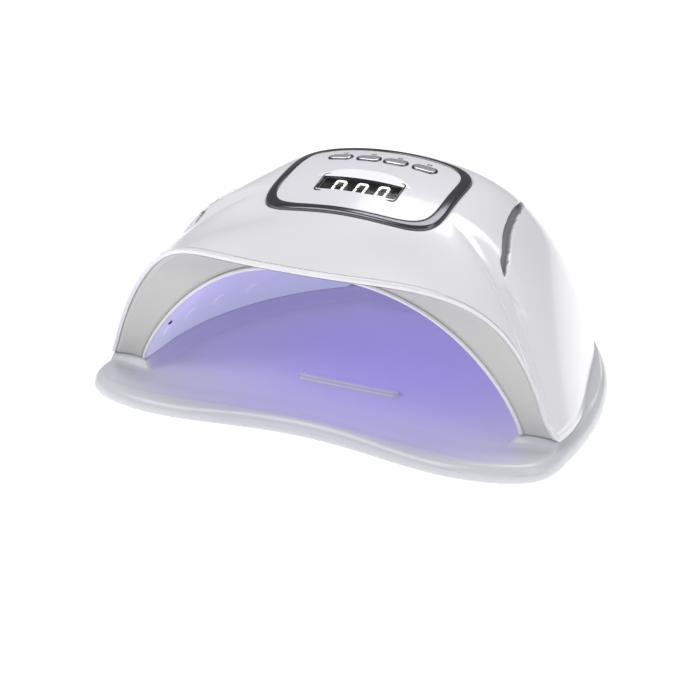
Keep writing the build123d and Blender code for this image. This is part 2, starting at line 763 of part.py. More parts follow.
with BuildPart() as reflector_liner:
    add(arch_body(LINER_WALL, LINER_REAR_Y + LINER_WALL))
    add(arch_body(0, LINER_REAR_Y), mode=Mode.SUBTRACT)
    # Front edge bowed in plan
    with BuildSketch(Plane.XY.offset(SEAM_Z - 1)):
        with BuildLine():
            xs = [MOUTH_HALF_WIDTH * 1.08 * i / 12 for i in range(-12, 13)]
            Spline(*[(x, mouth_y(x)) for x in xs])
            Polyline(
                (xs[-1], mouth_y(xs[-1])),
                (xs[-1], MOUTH_CROWN_Y - 30),
                (xs[0], MOUTH_CROWN_Y - 30),
                (xs[0], mouth_y(xs[0])),
            )
        make_face()
    extrude(amount=90, mode=Mode.SUBTRACT)
    for plane in LED_PLANES:
        with BuildSketch(plane.offset(-4)):
            Circle(LENS_RADIUS)
        extrude(amount=8, mode=Mode.SUBTRACT)
    for side in (1, -1):
        with BuildSketch(Plane.YZ.offset(side * MOUTH_HALF_WIDTH * 0.8)):
            with Locations((SENSOR_Y, SENSOR_Z)):
                Circle(SENSOR_RADIUS)
        extrude(amount=side * 40, mode=Mode.SUBTRACT)
finish(reflector_liner, "reflector_liner")


# Frame that closes the housing from below
frame_band = horseshoe(
    WALL + FRAME_SIDE_GAP, WALL + FRAME_REAR_GAP, FRAME_FRONT_Y, LINER_WALL + FRAME_LINER_GAP
)

with BuildPart() as bottom_frame:
    with BuildSketch(Plane.XY.offset(SEAM_Z)):
        add(frame_band)
    extrude(amount=FRAME_THICK)
    with BuildSketch(Plane.XY.offset(SEAM_Z)):
        with Locations(*both_sides(MAGNET_SPOTS)):
            Circle(MAGNET_RADIUS)
    extrude(amount=MAGNET_THICK, mode=Mode.SUBTRACT)
    for x, y in both_sides(SCREW_SPOTS):
        with BuildSketch(Plane.XY.offset(SEAM_Z)):
            with Locations((x, y)):
                Circle(SCREW_HEAD_RADIUS)
        extrude(amount=SCREW_HEAD_THICK, mode=Mode.SUBTRACT)
        with BuildSketch(Plane.XY.offset(SEAM_Z)):
            with Locations((x, y)):
                Circle(SCREW_RADIUS)
        extrude(amount=FRAME_THICK, mode=Mode.SUBTRACT)
    # Air slots behind the reflector
    with BuildSketch(Plane.XY.offset(SEAM_Z)):
        with GridLocations(AIR_SLOT_PITCH, 0, AIR_SLOT_COUNT, 1):
            with Locations((0, AIR_SLOT_Y)):
                SlotOverall(*AIR_SLOT, rotation=90)
    extrude(amount=FRAME_THICK, mode=Mode.SUBTRACT)
finish(bottom_frame, "bottom_frame")

with BuildPart() as frame_screws:
    for x, y in both_sides(SCREW_SPOTS):
        with BuildSketch(Plane.XY.offset(SEAM_Z)):
            with Locations((x, y)):
                Circle(SCREW_HEAD_RADIUS)
        extrude(amount=SCREW_HEAD_THICK)
        with BuildSketch(Plane.XY.offset(SEAM_Z + SCREW_HEAD_THICK)):
            with Locations((x, y)):
                Circle(SCREW_RADIUS)
        extrude(amount=SCREW_LENGTH)
        with BuildSketch(Plane.XY.offset(SEAM_Z)):
            with Locations((x, y)):
                Rectangle(*SCREW_SLOT)
                Rectangle(*SCREW_SLOT[::-1])
        extrude(amount=SCREW_SLOT_DEPTH, mode=Mode.SUBTRACT)
finish(frame_screws, "frame_screws")

with BuildPart() as housing_magnets:
    with BuildSketch(Plane.XY.offset(SEAM_Z)):
        with Locations(*both_sides(MAGNET_SPOTS)):
            Circle(MAGNET_RADIUS)
    extrude(amount=MAGNET_THICK)
finish(housing_magnets, "housing_magnets")


# Trim ring, panel and display
def surface_plane(x, y, tilt_at):
    """Plane on the panel's face at a spot, tilted forward as the face is at tilt_at."""
    fall = 2 * CROWN_BEND_Y * (CROWN_Y - tilt_at)
    normal = Vector(0, -fall, 1).normalized()
    return Plane(origin=(x, y, crown_z(x, y)), x_dir=(1, 0, 0), z_dir=normal)


WINDOW_PLANE = surface_plane(0, WINDOW_Y, WINDOW_Y)
BUTTON_PLANES = [surface_plane(x, BUTTON_Y, BUTTON_Y) for x in BUTTON_XS]
BOARD_PLANE = surface_plane(0, BUTTON_Y, BUTTON_Y).offset(-BOARD_DEPTH)
BOARD_SHIFT = BOARD_CENTRE_Y - BUTTON_Y

with BuildPart() as chrome_trim:
    add(
        crown_slab(RING_PROUD, -PANEL_THICK)
        & panel_prism(RING_HALF_WIDTH - RING_GAP, RING_HALF_DEPTH - RING_GAP, RING_POWER)
    )
    add(panel_prism(PANEL_HALF_WIDTH, PANEL_HALF_DEPTH, PANEL_POWER), mode=Mode.SUBTRACT)
finish(chrome_trim, "chrome_trim")

with BuildPart() as control_panel:
    # Four posts for the control board, trimmed under the panel's face
    for x, y in BOARD_SCREW_SPOTS:
        with BuildSketch(BOARD_PLANE):
            with Locations((x, y - BUTTON_Y)):
                Circle(BOARD_POST_RADIUS)
                Circle(BOARD_SCREW_RADIUS, mode=Mode.SUBTRACT)
        extrude(amount=BOARD_DEPTH - BOARD_POST_TRIM)
    add(crown_slab(MODULE_DEPTH * 10, -PANEL_THICK / 2), mode=Mode.SUBTRACT)
    add(
        crown_slab(0, -PANEL_THICK)
        & panel_prism(PANEL_HALF_WIDTH, PANEL_HALF_DEPTH, PANEL_POWER)
    )
    with BuildSketch(WINDOW_PLANE.offset(-PANEL_CUT)):
        RectangleRounded(*WINDOW_SIZE, WINDOW_CORNER)
    extrude(amount=2 * PANEL_CUT, mode=Mode.SUBTRACT)
    for plane in BUTTON_PLANES:
        with BuildSketch(plane.offset(-PANEL_CUT)):
            SlotOverall(BUTTON_SIZE[0] + 2 * BUTTON_GAP, BUTTON_SIZE[1] + 2 * BUTTON_GAP)
        extrude(amount=2 * PANEL_CUT, mode=Mode.SUBTRACT)
finish(control_panel, "control_panel")

with BuildPart() as display_window:
    with BuildSketch(WINDOW_PLANE.offset(-PANEL_CUT)):
        RectangleRounded(*WINDOW_SIZE, WINDOW_CORNER)
    extrude(amount=2 * PANEL_CUT)
    add(crown_slab(0, -WINDOW_THICK), mode=Mode.INTERSECT)
finish(display_window, "display_window")


def digit_bars(centre_x):
    """Seven bars of one digit as (x, y, length, upright)."""
    half_w = DIGIT_SIZE[0] / 2 - STROKE / 2
    half_h = DIGIT_SIZE[1] / 2 - STROKE / 2
    flat = half_w * 2 - STROKE
    tall = half_h - STROKE
    bars = [(centre_x, y, flat, False) for y in (half_h, 0, -half_h)]
    for x in (centre_x - half_w, centre_x + half_w):
        bars += [(x, half_h / 2, tall, True), (x, -half_h / 2, tall, True)]
    return bars


MODULE_PLANE = WINDOW_PLANE.offset(-MODULE_DEPTH)
SEGMENTS = [bar for i in (-1, 0, 1) for bar in digit_bars(i * DIGIT_PITCH)]

with BuildPart() as digit_segments:
    with BuildSketch(MODULE_PLANE):
        for x, y, length, upright in SEGMENTS:
            with Locations((x, y)):
                SlotOverall(length, STROKE * 0.9, rotation=90 if upright else 0)
    extrude(amount=-SEGMENT_DEPTH)
finish(digit_segments, "digit_segments")

with BuildPart() as display_module:
    with BuildSketch(MODULE_PLANE):
        Rectangle(MODULE_SIZE[0], MODULE_SIZE[1])
    extrude(amount=-MODULE_SIZE[2])
    add(digit_segments.part, mode=Mode.SUBTRACT)
finish(display_module, "display_module")

with BuildPart() as control_board:
    with BuildSketch(BOARD_PLANE):
        with Locations((0, BOARD_SHIFT)):
            RectangleRounded(BOARD_SIZE[0], BOARD_SIZE[1], BOARD_CORNER)
        with Locations(*[(x, y - BUTTON_Y) for x, y in BOARD_SCREW_SPOTS]):
            Circle(BOARD_SCREW_RADIUS, mode=Mode.SUBTRACT)
    extrude(amount=-BOARD_SIZE[2])
finish(control_board, "control_board")

with BuildPart() as board_screws:
    under = BOARD_PLANE.offset(-BOARD_SIZE[2])
    for x, y in BOARD_SCREW_SPOTS:
        with BuildSketch(under):
            with Locations((x, y - BUTTON_Y)):
                Circle(BOARD_SCREW_HEAD_RADIUS)
        extrude(amount=-BOARD_SCREW_HEAD_THICK)
        with BuildSketch(under):
            with Locations((x, y - BUTTON_Y)):
                Circle(BOARD_SCREW_RADIUS)
        extrude(amount=BOARD_SCREW_LENGTH)
finish(board_screws, "board_screws")

# Switches under the buttons
SWITCH_PLANES = [
    BOARD_PLANE.shift_origin(BOARD_PLANE.from_local_coords((x, 0))) for x in BUTTON_XS
]

with BuildPart() as tact_switches:
    for plane in SWITCH_PLANES:
        with BuildSketch(plane):
            Rectangle(SWITCH_BODY[0], SWITCH_BODY[1])
        extrude(amount=SWITCH_BODY[2])
        with BuildSketch(plane.offset(SWITCH_BODY[2])):
            Circle(PLUNGER_RADIUS + PLUNGER_GAP)
        extrude(amount=-PLUNGER_SINK - PLUNGER_ROOM, mode=Mode.SUBTRACT)
finish(tact_switches, "tact_switches")

PLUNGER_TOP = SWITCH_BODY[2] + PLUNGER_RISE

for number, (plane, switch, x) in enumerate(zip(BUTTON_PLANES, SWITCH_PLANES, BUTTON_XS), 1):
    with BuildPart() as plunger:
        with BuildSketch(switch.offset(PLUNGER_TOP)):
            Circle(PLUNGER_RADIUS)
        extrude(amount=-PLUNGER_RISE - PLUNGER_SINK)
    finish(plunger, f"switch_plunger_{number}")

    with BuildPart() as cap_top:
        with BuildSketch(plane.offset(-BUTTON_FLANGE_DEPTH)):
            SlotOverall(*BUTTON_SIZE)
        extrude(amount=2 * PANEL_CUT)
        add(crown_slab(BUTTON_PROUD, -BOARD_DEPTH), mode=Mode.INTERSECT)
    with BuildPart() as button:
        add(cap_top.part)
        fillet(button.edges().group_by(Axis.Z)[-1], radius=BUTTON_ROUND)
        with BuildSketch(plane.offset(-BUTTON_FLANGE_DEPTH)):
            SlotOverall(BUTTON_SIZE[0] + 2 * BUTTON_FLANGE, BUTTON_SIZE[1] + 2 * BUTTON_FLANGE)
        extrude(amount=-BUTTON_FLANGE_THICK)
        stem_foot = switch.offset(PLUNGER_TOP)
        length = (plane.origin - stem_foot.origin).dot(plane.z_dir) - BUTTON_FLANGE_DEPTH
        with BuildSketch(stem_foot):
            Circle(BUTTON_STEM_RADIUS)
        extrude(amount=length)
    finish(button, f"timer_button_{number}")


# Lights on flexible strips along the reflector
def strip_section(share, y):
    """Cross-section of a flexible strip at a station."""
    wall = wall_plane(share, y)
    middle = wall.offset(STRIP_STANDOFF + STRIP_SIZE[1] / 2)
    across = Plane(origin=middle.origin, x_dir=wall.z_dir, z_dir=wall.x_dir)
    with BuildSketch(across) as section:
        Rectangle(STRIP_SIZE[1], STRIP_SIZE[0])
    return section.sketch.faces()[0].outer_wire()


with BuildPart() as led_strips:
    for share in LED_SHARES:
        add(Solid.make_loft([strip_section(share, y) for y in STRIP_STATIONS]))
    rear_wall = Plane(
        origin=(0, LINER_REAR_Y + STRIP_STANDOFF, REAR_LED_Z), x_dir=(1, 0, 0), z_dir=(0, 1, 0)
    )
    with BuildSketch(rear_wall):
        Rectangle(REAR_LED_XS[-1] - REAR_LED_XS[0] + STRIP_OVERHANG, STRIP_SIZE[0])
    extrude(amount=STRIP_SIZE[1])
finish(led_strips, "led_strips")

with BuildPart() as led_packages:
    for plane in LED_PLANES:
        with BuildSketch(plane.offset(STRIP_STANDOFF - STRIP_SETTLE)):
            Rectangle(LED_PACKAGE_SIZE, LED_PACKAGE_SIZE)
        extrude(amount=-LED_PACKAGE_THICK)
finish(led_packages, "led_packages")

with BuildPart() as led_lenses:
    for plane in LED_PLANES:
        with BuildSketch(plane.offset(LENS_FLANGE_BOTTOM)):
            Circle(LENS_FLANGE_RADIUS)
        extrude(amount=STRIP_STANDOFF - STRIP_SETTLE - LENS_FLANGE_BOTTOM)
        with BuildSketch(plane.offset(LENS_FLANGE_BOTTOM)):
            Circle(LENS_RADIUS)
        extrude(amount=-LENS_FLANGE_BOTTOM - LENS_TIP)
        with BuildSketch(plane.offset(STRIP_STANDOFF)):
            Rectangle(LED_PACKAGE_SIZE, LED_PACKAGE_SIZE)
        extrude(amount=-STRIP_SETTLE - LED_PACKAGE_THICK, mode=Mode.SUBTRACT)
finish(led_lenses, "led_lenses")

for name, side in (("sensor_emitter", 1), ("sensor_receiver", -1)):
    with BuildPart() as sensor:
        with BuildSketch(Plane.YZ.offset(side * SENSOR_INNER_X)):
            with Locations((SENSOR_Y, SENSOR_Z)):
                Circle(SENSOR_RADIUS)
        extrude(amount=side * SENSOR_LENGTH)
        fillet(sensor.edges().sort_by(Axis.X)[0 if side > 0 else -1], radius=SENSOR_ROUND)
    finish(sensor, name)

# Power inlet
with BuildPart() as power_jack:
    with BuildSketch(Plane.XZ.offset(-JACK_FACE_Y)):
        with Locations((0, JACK_Z)):
            Circle(JACK_SLEEVE_RADIUS + JACK_RIM_WIDTH)
    extrude(amount=-JACK_RIM)
    with BuildSketch(Plane.XZ.offset(-JACK_FACE_Y)):
        with Locations((0, JACK_Z)):
            Circle(JACK_SLEEVE_RADIUS)
    extrude(amount=JACK_LENGTH)
    with BuildSketch(Plane.XZ.offset(-JACK_FACE_Y - JACK_RIM)):
        with Locations((0, JACK_Z)):
            Circle(JACK_BORE / 2)
    extrude(amount=JACK_BORE_DEPTH, mode=Mode.SUBTRACT)
finish(power_jack, "power_jack")

with BuildPart() as jack_pin:
    with BuildSketch(Plane.XZ.offset(-JACK_FACE_Y - JACK_RIM + JACK_BORE_DEPTH)):
        with Locations((0, JACK_Z)):
            Circle(JACK_PIN / 2)
    extrude(amount=-JACK_BORE_DEPTH + JACK_PIN_SINK)
finish(jack_pin, "jack_pin")

with BuildPart() as jack_nut:
    with BuildSketch(Plane.XZ.offset(-JACK_FACE_Y + JACK_WALL)):
        with Locations((0, JACK_Z)):
            RegularPolygon(radius=JACK_NUT_INRADIUS, side_count=6, major_radius=False)
            Circle(JACK_SLEEVE_RADIUS, mode=Mode.SUBTRACT)
    extrude(amount=JACK_NUT_THICK)
finish(jack_nut, "jack_nut")

# Wiring: two supply leads and one lead to the lights on each side
def wire(points, name):
    """Round lead along a route of straight runs and arcs."""
    with BuildPart() as lead:
        with BuildLine() as route:
            FilletPolyline(*points, radius=WIRE_BEND)
        with BuildSketch(Plane(origin=route.line @ 0, z_dir=route.line % 0)):
            Circle(WIRE_RADIUS)
        sweep()
    finish(lead, name)


BOARD_UNDER = BOARD_PLANE.offset(-BOARD_SIZE[2])

for name, x in (("supply_lead_positive", LEAD_SPACING), ("supply_lead_negative", -LEAD_SPACING)):
    board_end = BOARD_UNDER.from_local_coords((x, BOARD_SHIFT + LEAD_LAND_Y, 0))
    down = BOARD_UNDER.from_local_coords((x, BOARD_SHIFT + LEAD_LAND_Y, -LEAD_DROP))
    route = [Vector(x, y, z) for y, z in SUPPLY_ROUTE]
    wire([Vector(x, JACK_FACE_Y - JACK_LENGTH, JACK_Z), *route, down, board_end], name)

for name, side in (("light_lead_right", 1), ("light_lead_left", -1)):
    wall = wall_plane(side * LED_SHARES[4], LEAD_STATION)
    wire(
        [
            BOARD_UNDER.from_local_coords((side * LEAD_BOARD_X, BOARD_SHIFT, 0)),
            BOARD_UNDER.from_local_coords((side * LEAD_BOARD_X, BOARD_SHIFT, -LEAD_DROP)),
            wall.offset(STRIP_STANDOFF + STRIP_SIZE[1] + LEAD_DROP + WIRE_BEND).origin,
            wall.offset(STRIP_STANDOFF + STRIP_SIZE[1]).origin,
        ],
        name,
    )
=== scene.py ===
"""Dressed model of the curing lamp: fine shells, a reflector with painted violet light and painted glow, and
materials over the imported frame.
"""

from math import atan2, cos, degrees, exp, hypot, pi, radians, sin, sqrt

import bpy
import numpy as np
from mathutils import Matrix, Vector


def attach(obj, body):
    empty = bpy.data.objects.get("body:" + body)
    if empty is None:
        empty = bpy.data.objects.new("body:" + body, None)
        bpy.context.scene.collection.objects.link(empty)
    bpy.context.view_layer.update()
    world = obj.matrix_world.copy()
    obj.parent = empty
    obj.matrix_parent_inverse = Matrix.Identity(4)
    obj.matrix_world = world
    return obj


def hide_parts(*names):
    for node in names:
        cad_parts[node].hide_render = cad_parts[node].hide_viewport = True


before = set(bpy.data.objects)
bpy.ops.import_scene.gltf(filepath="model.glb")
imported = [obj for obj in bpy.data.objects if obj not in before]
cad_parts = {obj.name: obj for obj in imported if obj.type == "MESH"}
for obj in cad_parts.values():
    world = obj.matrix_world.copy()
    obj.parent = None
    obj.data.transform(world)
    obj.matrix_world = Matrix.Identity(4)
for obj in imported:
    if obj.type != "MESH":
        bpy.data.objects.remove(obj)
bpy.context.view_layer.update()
scene = bpy.context.scene
scene.view_settings.view_transform = "Standard"
MM = 0.001

# Camera at the photograph's angle, for a view 700 pixels square: millimetres of lens, degrees and metres
CAMERA_LENS = 100.8
CAMERA_SENSOR = 36.0
CAMERA_AZIMUTH = 27.0
CAMERA_ELEVATION = 22.0
CAMERA_PLACE = (0.3726, -0.7774, 0.3564)
eye = bpy.data.cameras.new("camera")
eye.lens = CAMERA_LENS
eye.sensor_width = CAMERA_SENSOR
camera = bpy.data.objects.new("camera", eye)
scene.collection.objects.link(camera)
azimuth, elevation = radians(CAMERA_AZIMUTH), radians(CAMERA_ELEVATION)
forward = Vector((-sin(azimuth) * cos(elevation), cos(azimuth) * cos(elevation), -sin(elevation)))
right = Vector((cos(azimuth), sin(azimuth), 0))
up = right.cross(forward)
pose = Matrix((right, up, -forward)).transposed().to_4x4()
pose.translation = Vector(CAMERA_PLACE)
camera.matrix_world = pose
scene.camera = camera

# Dimensions of the solids that the fine meshes repeat, in millimetres
SEAT_TOP = 12.9
SEAM_Z = 13.0
ARCH_CROWDING = 1.5
BASE_HALF_WIDTH = 114.5
BASE_WAIST_Y = -60.0
BASE_REAR_LENGTH = 163.0
BASE_FRONT_LENGTH = 45.0
BASE_CORNER_POWER = 4.4
BASE_FRONT_DIP = 10.0
BASE_DIP_HALF_WIDTH = 84.0
BASE_MIDDLE_Y = -10.0
RIDGE_HALF_LENGTH = 25.5
RIDGE_Y = -47.0
RIDGE_WIDTH = 4.5
SEAT_INSET = 0.2
SEAT_FRONT_Y = -70.0
SEAT_STEP = 1.0
SIDE_HALF_WIDTH = 113.2
SEAM_WAIST_Y = -62.0
SEAM_REAR_LENGTH = 157.0
SEAM_DIP = 5.5
SEAM_DIP_SPAN = 0.75
WALL = 2.5
BRIM_HALF_WIDTH = 108.5
BRIM_RISE = 69.0
BRIM_SIDE_POWER = 4.0
BRIM_TOP_POWER = 1.4
BRIM_LEAN_POWERS = (3, 3.1)
BRIM_LEG_Y = -76.0
BRIM_CROWN_Y = -103.0
BRIM_FOOT_SETBACK = 3.5
BRIM_FOOT_FLARE = 3.5
BRIM_FOOT_HEIGHT = 14.0
MOUTH_HALF_WIDTH = 93.0
MOUTH_RISE = 59.5
MOUTH_SIDE_POWER = 2.1
MOUTH_TOP_POWER = 1.3
MOUTH_BOW_POWERS = (1.5, 2.6)
MOUTH_LEG_Y = -72.5
MOUTH_CROWN_Y = -84.0
LINER_WALL = 2.0
LINER_MAX_HALF_WIDTH = 94.5
LINER_MAX_RISE = 62.0
LINER_WIDEST_Y = -40.0
LINER_TAPER_LENGTH = 116.0
LINER_FRONT_LENGTH = 30.0
LINER_REAR_Y = 60.0
CROWN_Z = 106.0
CROWN_BEND_X = 0.0030
CROWN_BEND_Y = 0.0048
CROWN_Y = -2.0
AXIS_Y = -28.0
RING_HALF_WIDTH = 43.5
RING_HALF_DEPTH = 27.2
RING_POWER = 5.0
PANEL_HALF_WIDTH = 38.8
PANEL_HALF_DEPTH = 23.9
PANEL_POWER = 5.0
SHELL_DROP = 0.8
PANEL_THICK = 2.4
RING_GAP = 0.15
KEY_DIRECTIONS = [0, 45, 58, 66, 75, 110, 180]
SLOPE_AT_RING = [17, 18, 16, 14, 9, 9, 8]
SLOPE_AT_EDGE = [8, 26, 45, 58, 64, 85, 57]
REACH_AT_RING = [0.30, 0.29, 0.29, 0.30, 0.35, 0.25, 0.32]
REACH_AT_EDGE = [0.35, 0.39, 0.44, 0.50, 0.56, 0.41, 0.40]
FAN_TURN = 9.0
FAN_CENTRE = 68.0
FAN_SPREAD = 13.0
VENT_TIP = (-55.4, 70.5)
VENT_UPPER = [(-51.6, 76.4), (-46.9, 81.5), (-37.2, 85.8), (-23.8, 88.4), (-3.0, 89.8)]
VENT_TAIL = (16.0, 86.5)
VENT_LOWER = [(-3.0, 87.2), (-22.6, 86.0), (-37.2, 82.8), (-46.6, 79.0), (-51.4, 74.9)]
WINDOW_Y = -36.7
WINDOW_SIZE = (39.0, 11.5)
WINDOW_CORNER = 1.2
BUTTON_Y = -14.0
BUTTON_XS = (-21.0, -6.7, 6.7, 21.0)
BUTTON_SIZE = (10.5, 4.2)
JACK_Z = 24.5
JACK_FACE_Y = 92.0
JACK_BOSS_RADIUS = 7.6
JACK_SLEEVE_RADIUS = 4.0
DIGIT_SIZE = (5.4, 8.2)
DIGIT_PITCH = 10.6
STROKE = 1.0
DIGIT_DEPTH = 2.4
LABEL_SIZE = 2.6
LABEL_SHIFT = 4.9
LABEL_THICK = 0.04
LABEL_LIFT = 0.03


# Materials
GLOSS_SPREAD = 0.15
TEXTURE_RELIEF = 0.0002
# Strength of the painted glow on the reflector, which the LED lenses share
PAINTED_GLOW_STRENGTH = 0.8
BAR_STRENGTH = 2.2


def new_material(name):
    """Material with a Principled shader, and its node tools."""
    mat = bpy.data.materials.new(name)
    mat.use_nodes = True
    nodes = mat.node_tree.nodes
    return mat, nodes, mat.node_tree.links, nodes["Principled BSDF"]


def noise(nodes, links, scale, detail=3.0, roughness=0.55):
    """Noise over the object's own coordinates."""
    place = nodes.new("ShaderNodeTexCoord")
    texture = nodes.new("ShaderNodeTexNoise")
    texture.inputs["Scale"].default_value = scale
    texture.inputs["Detail"].default_value = detail
    texture.inputs["Roughness"].default_value = roughness
    links.new(place.outputs["Object"], texture.inputs["Vector"])
    return texture


def ramp(nodes, links, source, stops):
    """Colour ramp from a list of (position, colour)."""
    band = nodes.new("ShaderNodeValToRGB")
    steps = band.color_ramp.elements
    while len(steps) < len(stops):
        steps.new(0.5)
    for step, (position, colour) in zip(steps, stops):
        step.position = position
        step.color = (*colour, 1.0)
    links.new(source, band.inputs["Fac"])
    return band


def spread(colour, amount):
    """A colour a little darker and a little lighter than the given one."""
    dark = tuple(max(c * (1 - amount), 0.0) for c in colour)
    light = tuple(min(c * (1 + amount), 1.0) for c in colour)
    return dark, light


def moulded(name, colour, rough=0.3, vary=0.03, grain=900.0, bump=0.02, cloud=14.0, **sockets):
    """Moulded plastic or plated surface: a faint cloud in the colour, uneven gloss and fine texture."""
    mat, nodes, links, shader = new_material(name)
    cloudy = noise(nodes, links, cloud)
    dark, light = spread(colour, vary)
    tint = ramp(nodes, links, cloudy.outputs["Fac"], [(0.3, dark), (0.7, light)])
    links.new(tint.outputs["Color"], shader.inputs["Base Color"])
    fine = noise(nodes, links, grain, 2.0)
    gloss = nodes.new("ShaderNodeMapRange")
    gloss.inputs["To Min"].default_value = rough * (1 - GLOSS_SPREAD)
    gloss.inputs["To Max"].default_value = rough * (1 + GLOSS_SPREAD)
    links.new(cloudy.outputs["Fac"], gloss.inputs["Value"])
    links.new(gloss.outputs["Result"], shader.inputs["Roughness"])
    if bump > 0:
        relief = nodes.new("ShaderNodeBump")
        relief.inputs["Strength"].default_value = bump
        relief.inputs["Distance"].default_value = TEXTURE_RELIEF
        links.new(fine.outputs["Fac"], relief.inputs["Height"])
        links.new(relief.outputs["Normal"], shader.inputs["Normal"])
    for socket, value in sockets.items():
        shader.inputs[socket.replace("_", " ")].default_value = value
    return mat


pearl = moulded("pearl_shell", (0.80, 0.79, 0.825), 0.22, 0.015, Coat_Weight=0.6, Coat_Roughness=0.05)
satin_grey = moulded("satin_flange", (0.58, 0.58, 0.56), 0.45, 0.02, grain=1500.0, bump=0.05)
milk = moulded("milky_base", (0.63, 0.64, 0.67), 0.25, 0.02, Coat_Weight=0.35, Coat_Roughness=0.08)
dark_chrome = moulded("dark_chrome", (0.13, 0.13, 0.145), 0.16, 0.05, bump=0.0, Metallic=1.0)
bright_chrome = moulded("bright_chrome", (0.83, 0.83, 0.85), 0.10, 0.02, bump=0.0, Metallic=1.0)
pearl_panel = moulded("pearl_panel", (0.77, 0.76, 0.81), 0.28, 0.02, Coat_Weight=0.5, Coat_Roughness=0.06)
# Painted shade: grey for the deep faces of the side vents and for the vent inserts, where the groove lies in
# shade
recess_painted_shade = moulded("recess_painted_shade", (0.27, 0.27, 0.29), 0.5, 0.03)
frame_grey = moulded("frame_satin", (0.62, 0.62, 0.63), 0.45, 0.03, grain=1200.0, bump=0.06)
steel = moulded("zinc_steel", (0.55, 0.55, 0.56), 0.3, 0.08, grain=1500.0, bump=0.1, Metallic=1.0)
nickel = moulded("nickel", (0.70, 0.69, 0.66), 0.2, 0.05, Metallic=1.0)
rubber = moulded("foot_rubber", (0.035, 0.035, 0.037), 0.75, 0.15, grain=700.0, bump=0.3)
black = moulded("black_moulding", (0.018, 0.018, 0.02), 0.35, 0.1)
module_black = moulded("module_face", (0.006, 0.006, 0.007), 0.35, 0.1, grain=600.0, bump=0.08)
board_green = moulded("board_green", (0.02, 0.16, 0.07), 0.35, 0.25, cloud=160.0, bump=0.1)
strip_white = moulded("strip_white", (0.8, 0.8, 0.78), 0.5, 0.05, cloud=120.0)
phosphor = moulded("phosphor", (0.80, 0.55, 0.12), 0.4, 0.2, cloud=500.0)
brass = moulded("brass", (0.72, 0.5, 0.2), 0.2, 0.05, Metallic=1.0)
ivory = moulded("ivory", (0.68, 0.65, 0.55), 0.45, 0.05)
lead_red = moulded("lead_red", (0.45, 0.02, 0.02), 0.4, 0.1)
lead_black = moulded("lead_black", (0.02, 0.02, 0.02), 0.4, 0.1)
lead_white = moulded("lead_white", (0.75, 0.75, 0.74), 0.4, 0.05)
sensor_black = moulded("sensor_black", (0.02, 0.008, 0.015), 0.08, 0.1, bump=0.0, Coat_Weight=1.0)

display_white = moulded("display_white", (0.93, 0.93, 0.95), 0.35, 0.01)
olive = moulded("unlit_bar", (0.09, 0.085, 0.035), 0.4, 0.1)
ink = moulded("label_ink", (0.09, 0.09, 0.10), 0.5, 0.05)
window_smoke = moulded(
    "window_smoke", (0.012, 0.012, 0.014), 0.06, 0.1, bump=0.0, Alpha=0.22, Coat_Weight=0.6
)
lit_bar = moulded("lit_bar", (0.95, 0.96, 0.93), 0.4, 0.01, Emission_Strength=BAR_STRENGTH)
lit_bar.node_tree.nodes["Principled BSDF"].inputs["Emission Color"].default_value = (0.95, 1.0, 0.92, 1.0)


def height_ramp(nodes, links, low, high, stops):
    """Colour that changes with height above the ground, between two heights in millimetres."""
    place = nodes.new("ShaderNodeTexCoord")
    apart = nodes.new("ShaderNodeSeparateXYZ")
    links.new(place.outputs["Object"], apart.inputs["Vector"])
    span = nodes.new("ShaderNodeMapRange")
    span.inputs["From Min"].default_value = low * MM
    span.inputs["From Max"].default_value = high * MM
    links.new(apart.outputs["Z"], span.inputs["Value"])
    return ramp(nodes, links, span.outputs["Result"], stops)


def painted_glow_reflector():
    """White reflector with painted violet light: violet painted into the base colour and a painted glow,
    though the reflector is no lamp, both strongest at the top of the arch.
    """
    mat = moulded("reflector_white", (0.80, 0.80, 0.86), 0.3, 0.02)
    nodes, links = mat.node_tree.nodes, mat.node_tree.links
    shader = nodes["Principled BSDF"]
    # Painted violet light: base colour turning violet towards the top of the arch
    painted_violet_stops = [
        (0.0, (0.58, 0.60, 0.66)),
        (0.3, (0.52, 0.52, 0.66)),
        (0.62, (0.42, 0.38, 0.68)),
        (1.0, (0.34, 0.27, 0.72)),
    ]
    tint = height_ramp(nodes, links, SEAM_Z, SEAM_Z + MOUTH_RISE, painted_violet_stops)
    links.new(tint.outputs["Color"], shader.inputs["Base Color"])
    # Painted glow: emission colour, most violet at the top of the arch
    painted_glow_stops = [
        (0.0, (0.26, 0.28, 0.33)),
        (0.35, (0.34, 0.33, 0.45)),
        (0.7, (0.32, 0.25, 0.64)),
        (1.0, (0.31, 0.21, 0.80)),
    ]
    light = height_ramp(nodes, links, SEAM_Z, SEAM_Z + MOUTH_RISE, painted_glow_stops)
    links.new(light.outputs["Color"], shader.inputs["Emission Color"])
    shader.inputs["Emission Strength"].default_value = PAINTED_GLOW_STRENGTH
    return mat


reflector = painted_glow_reflector()

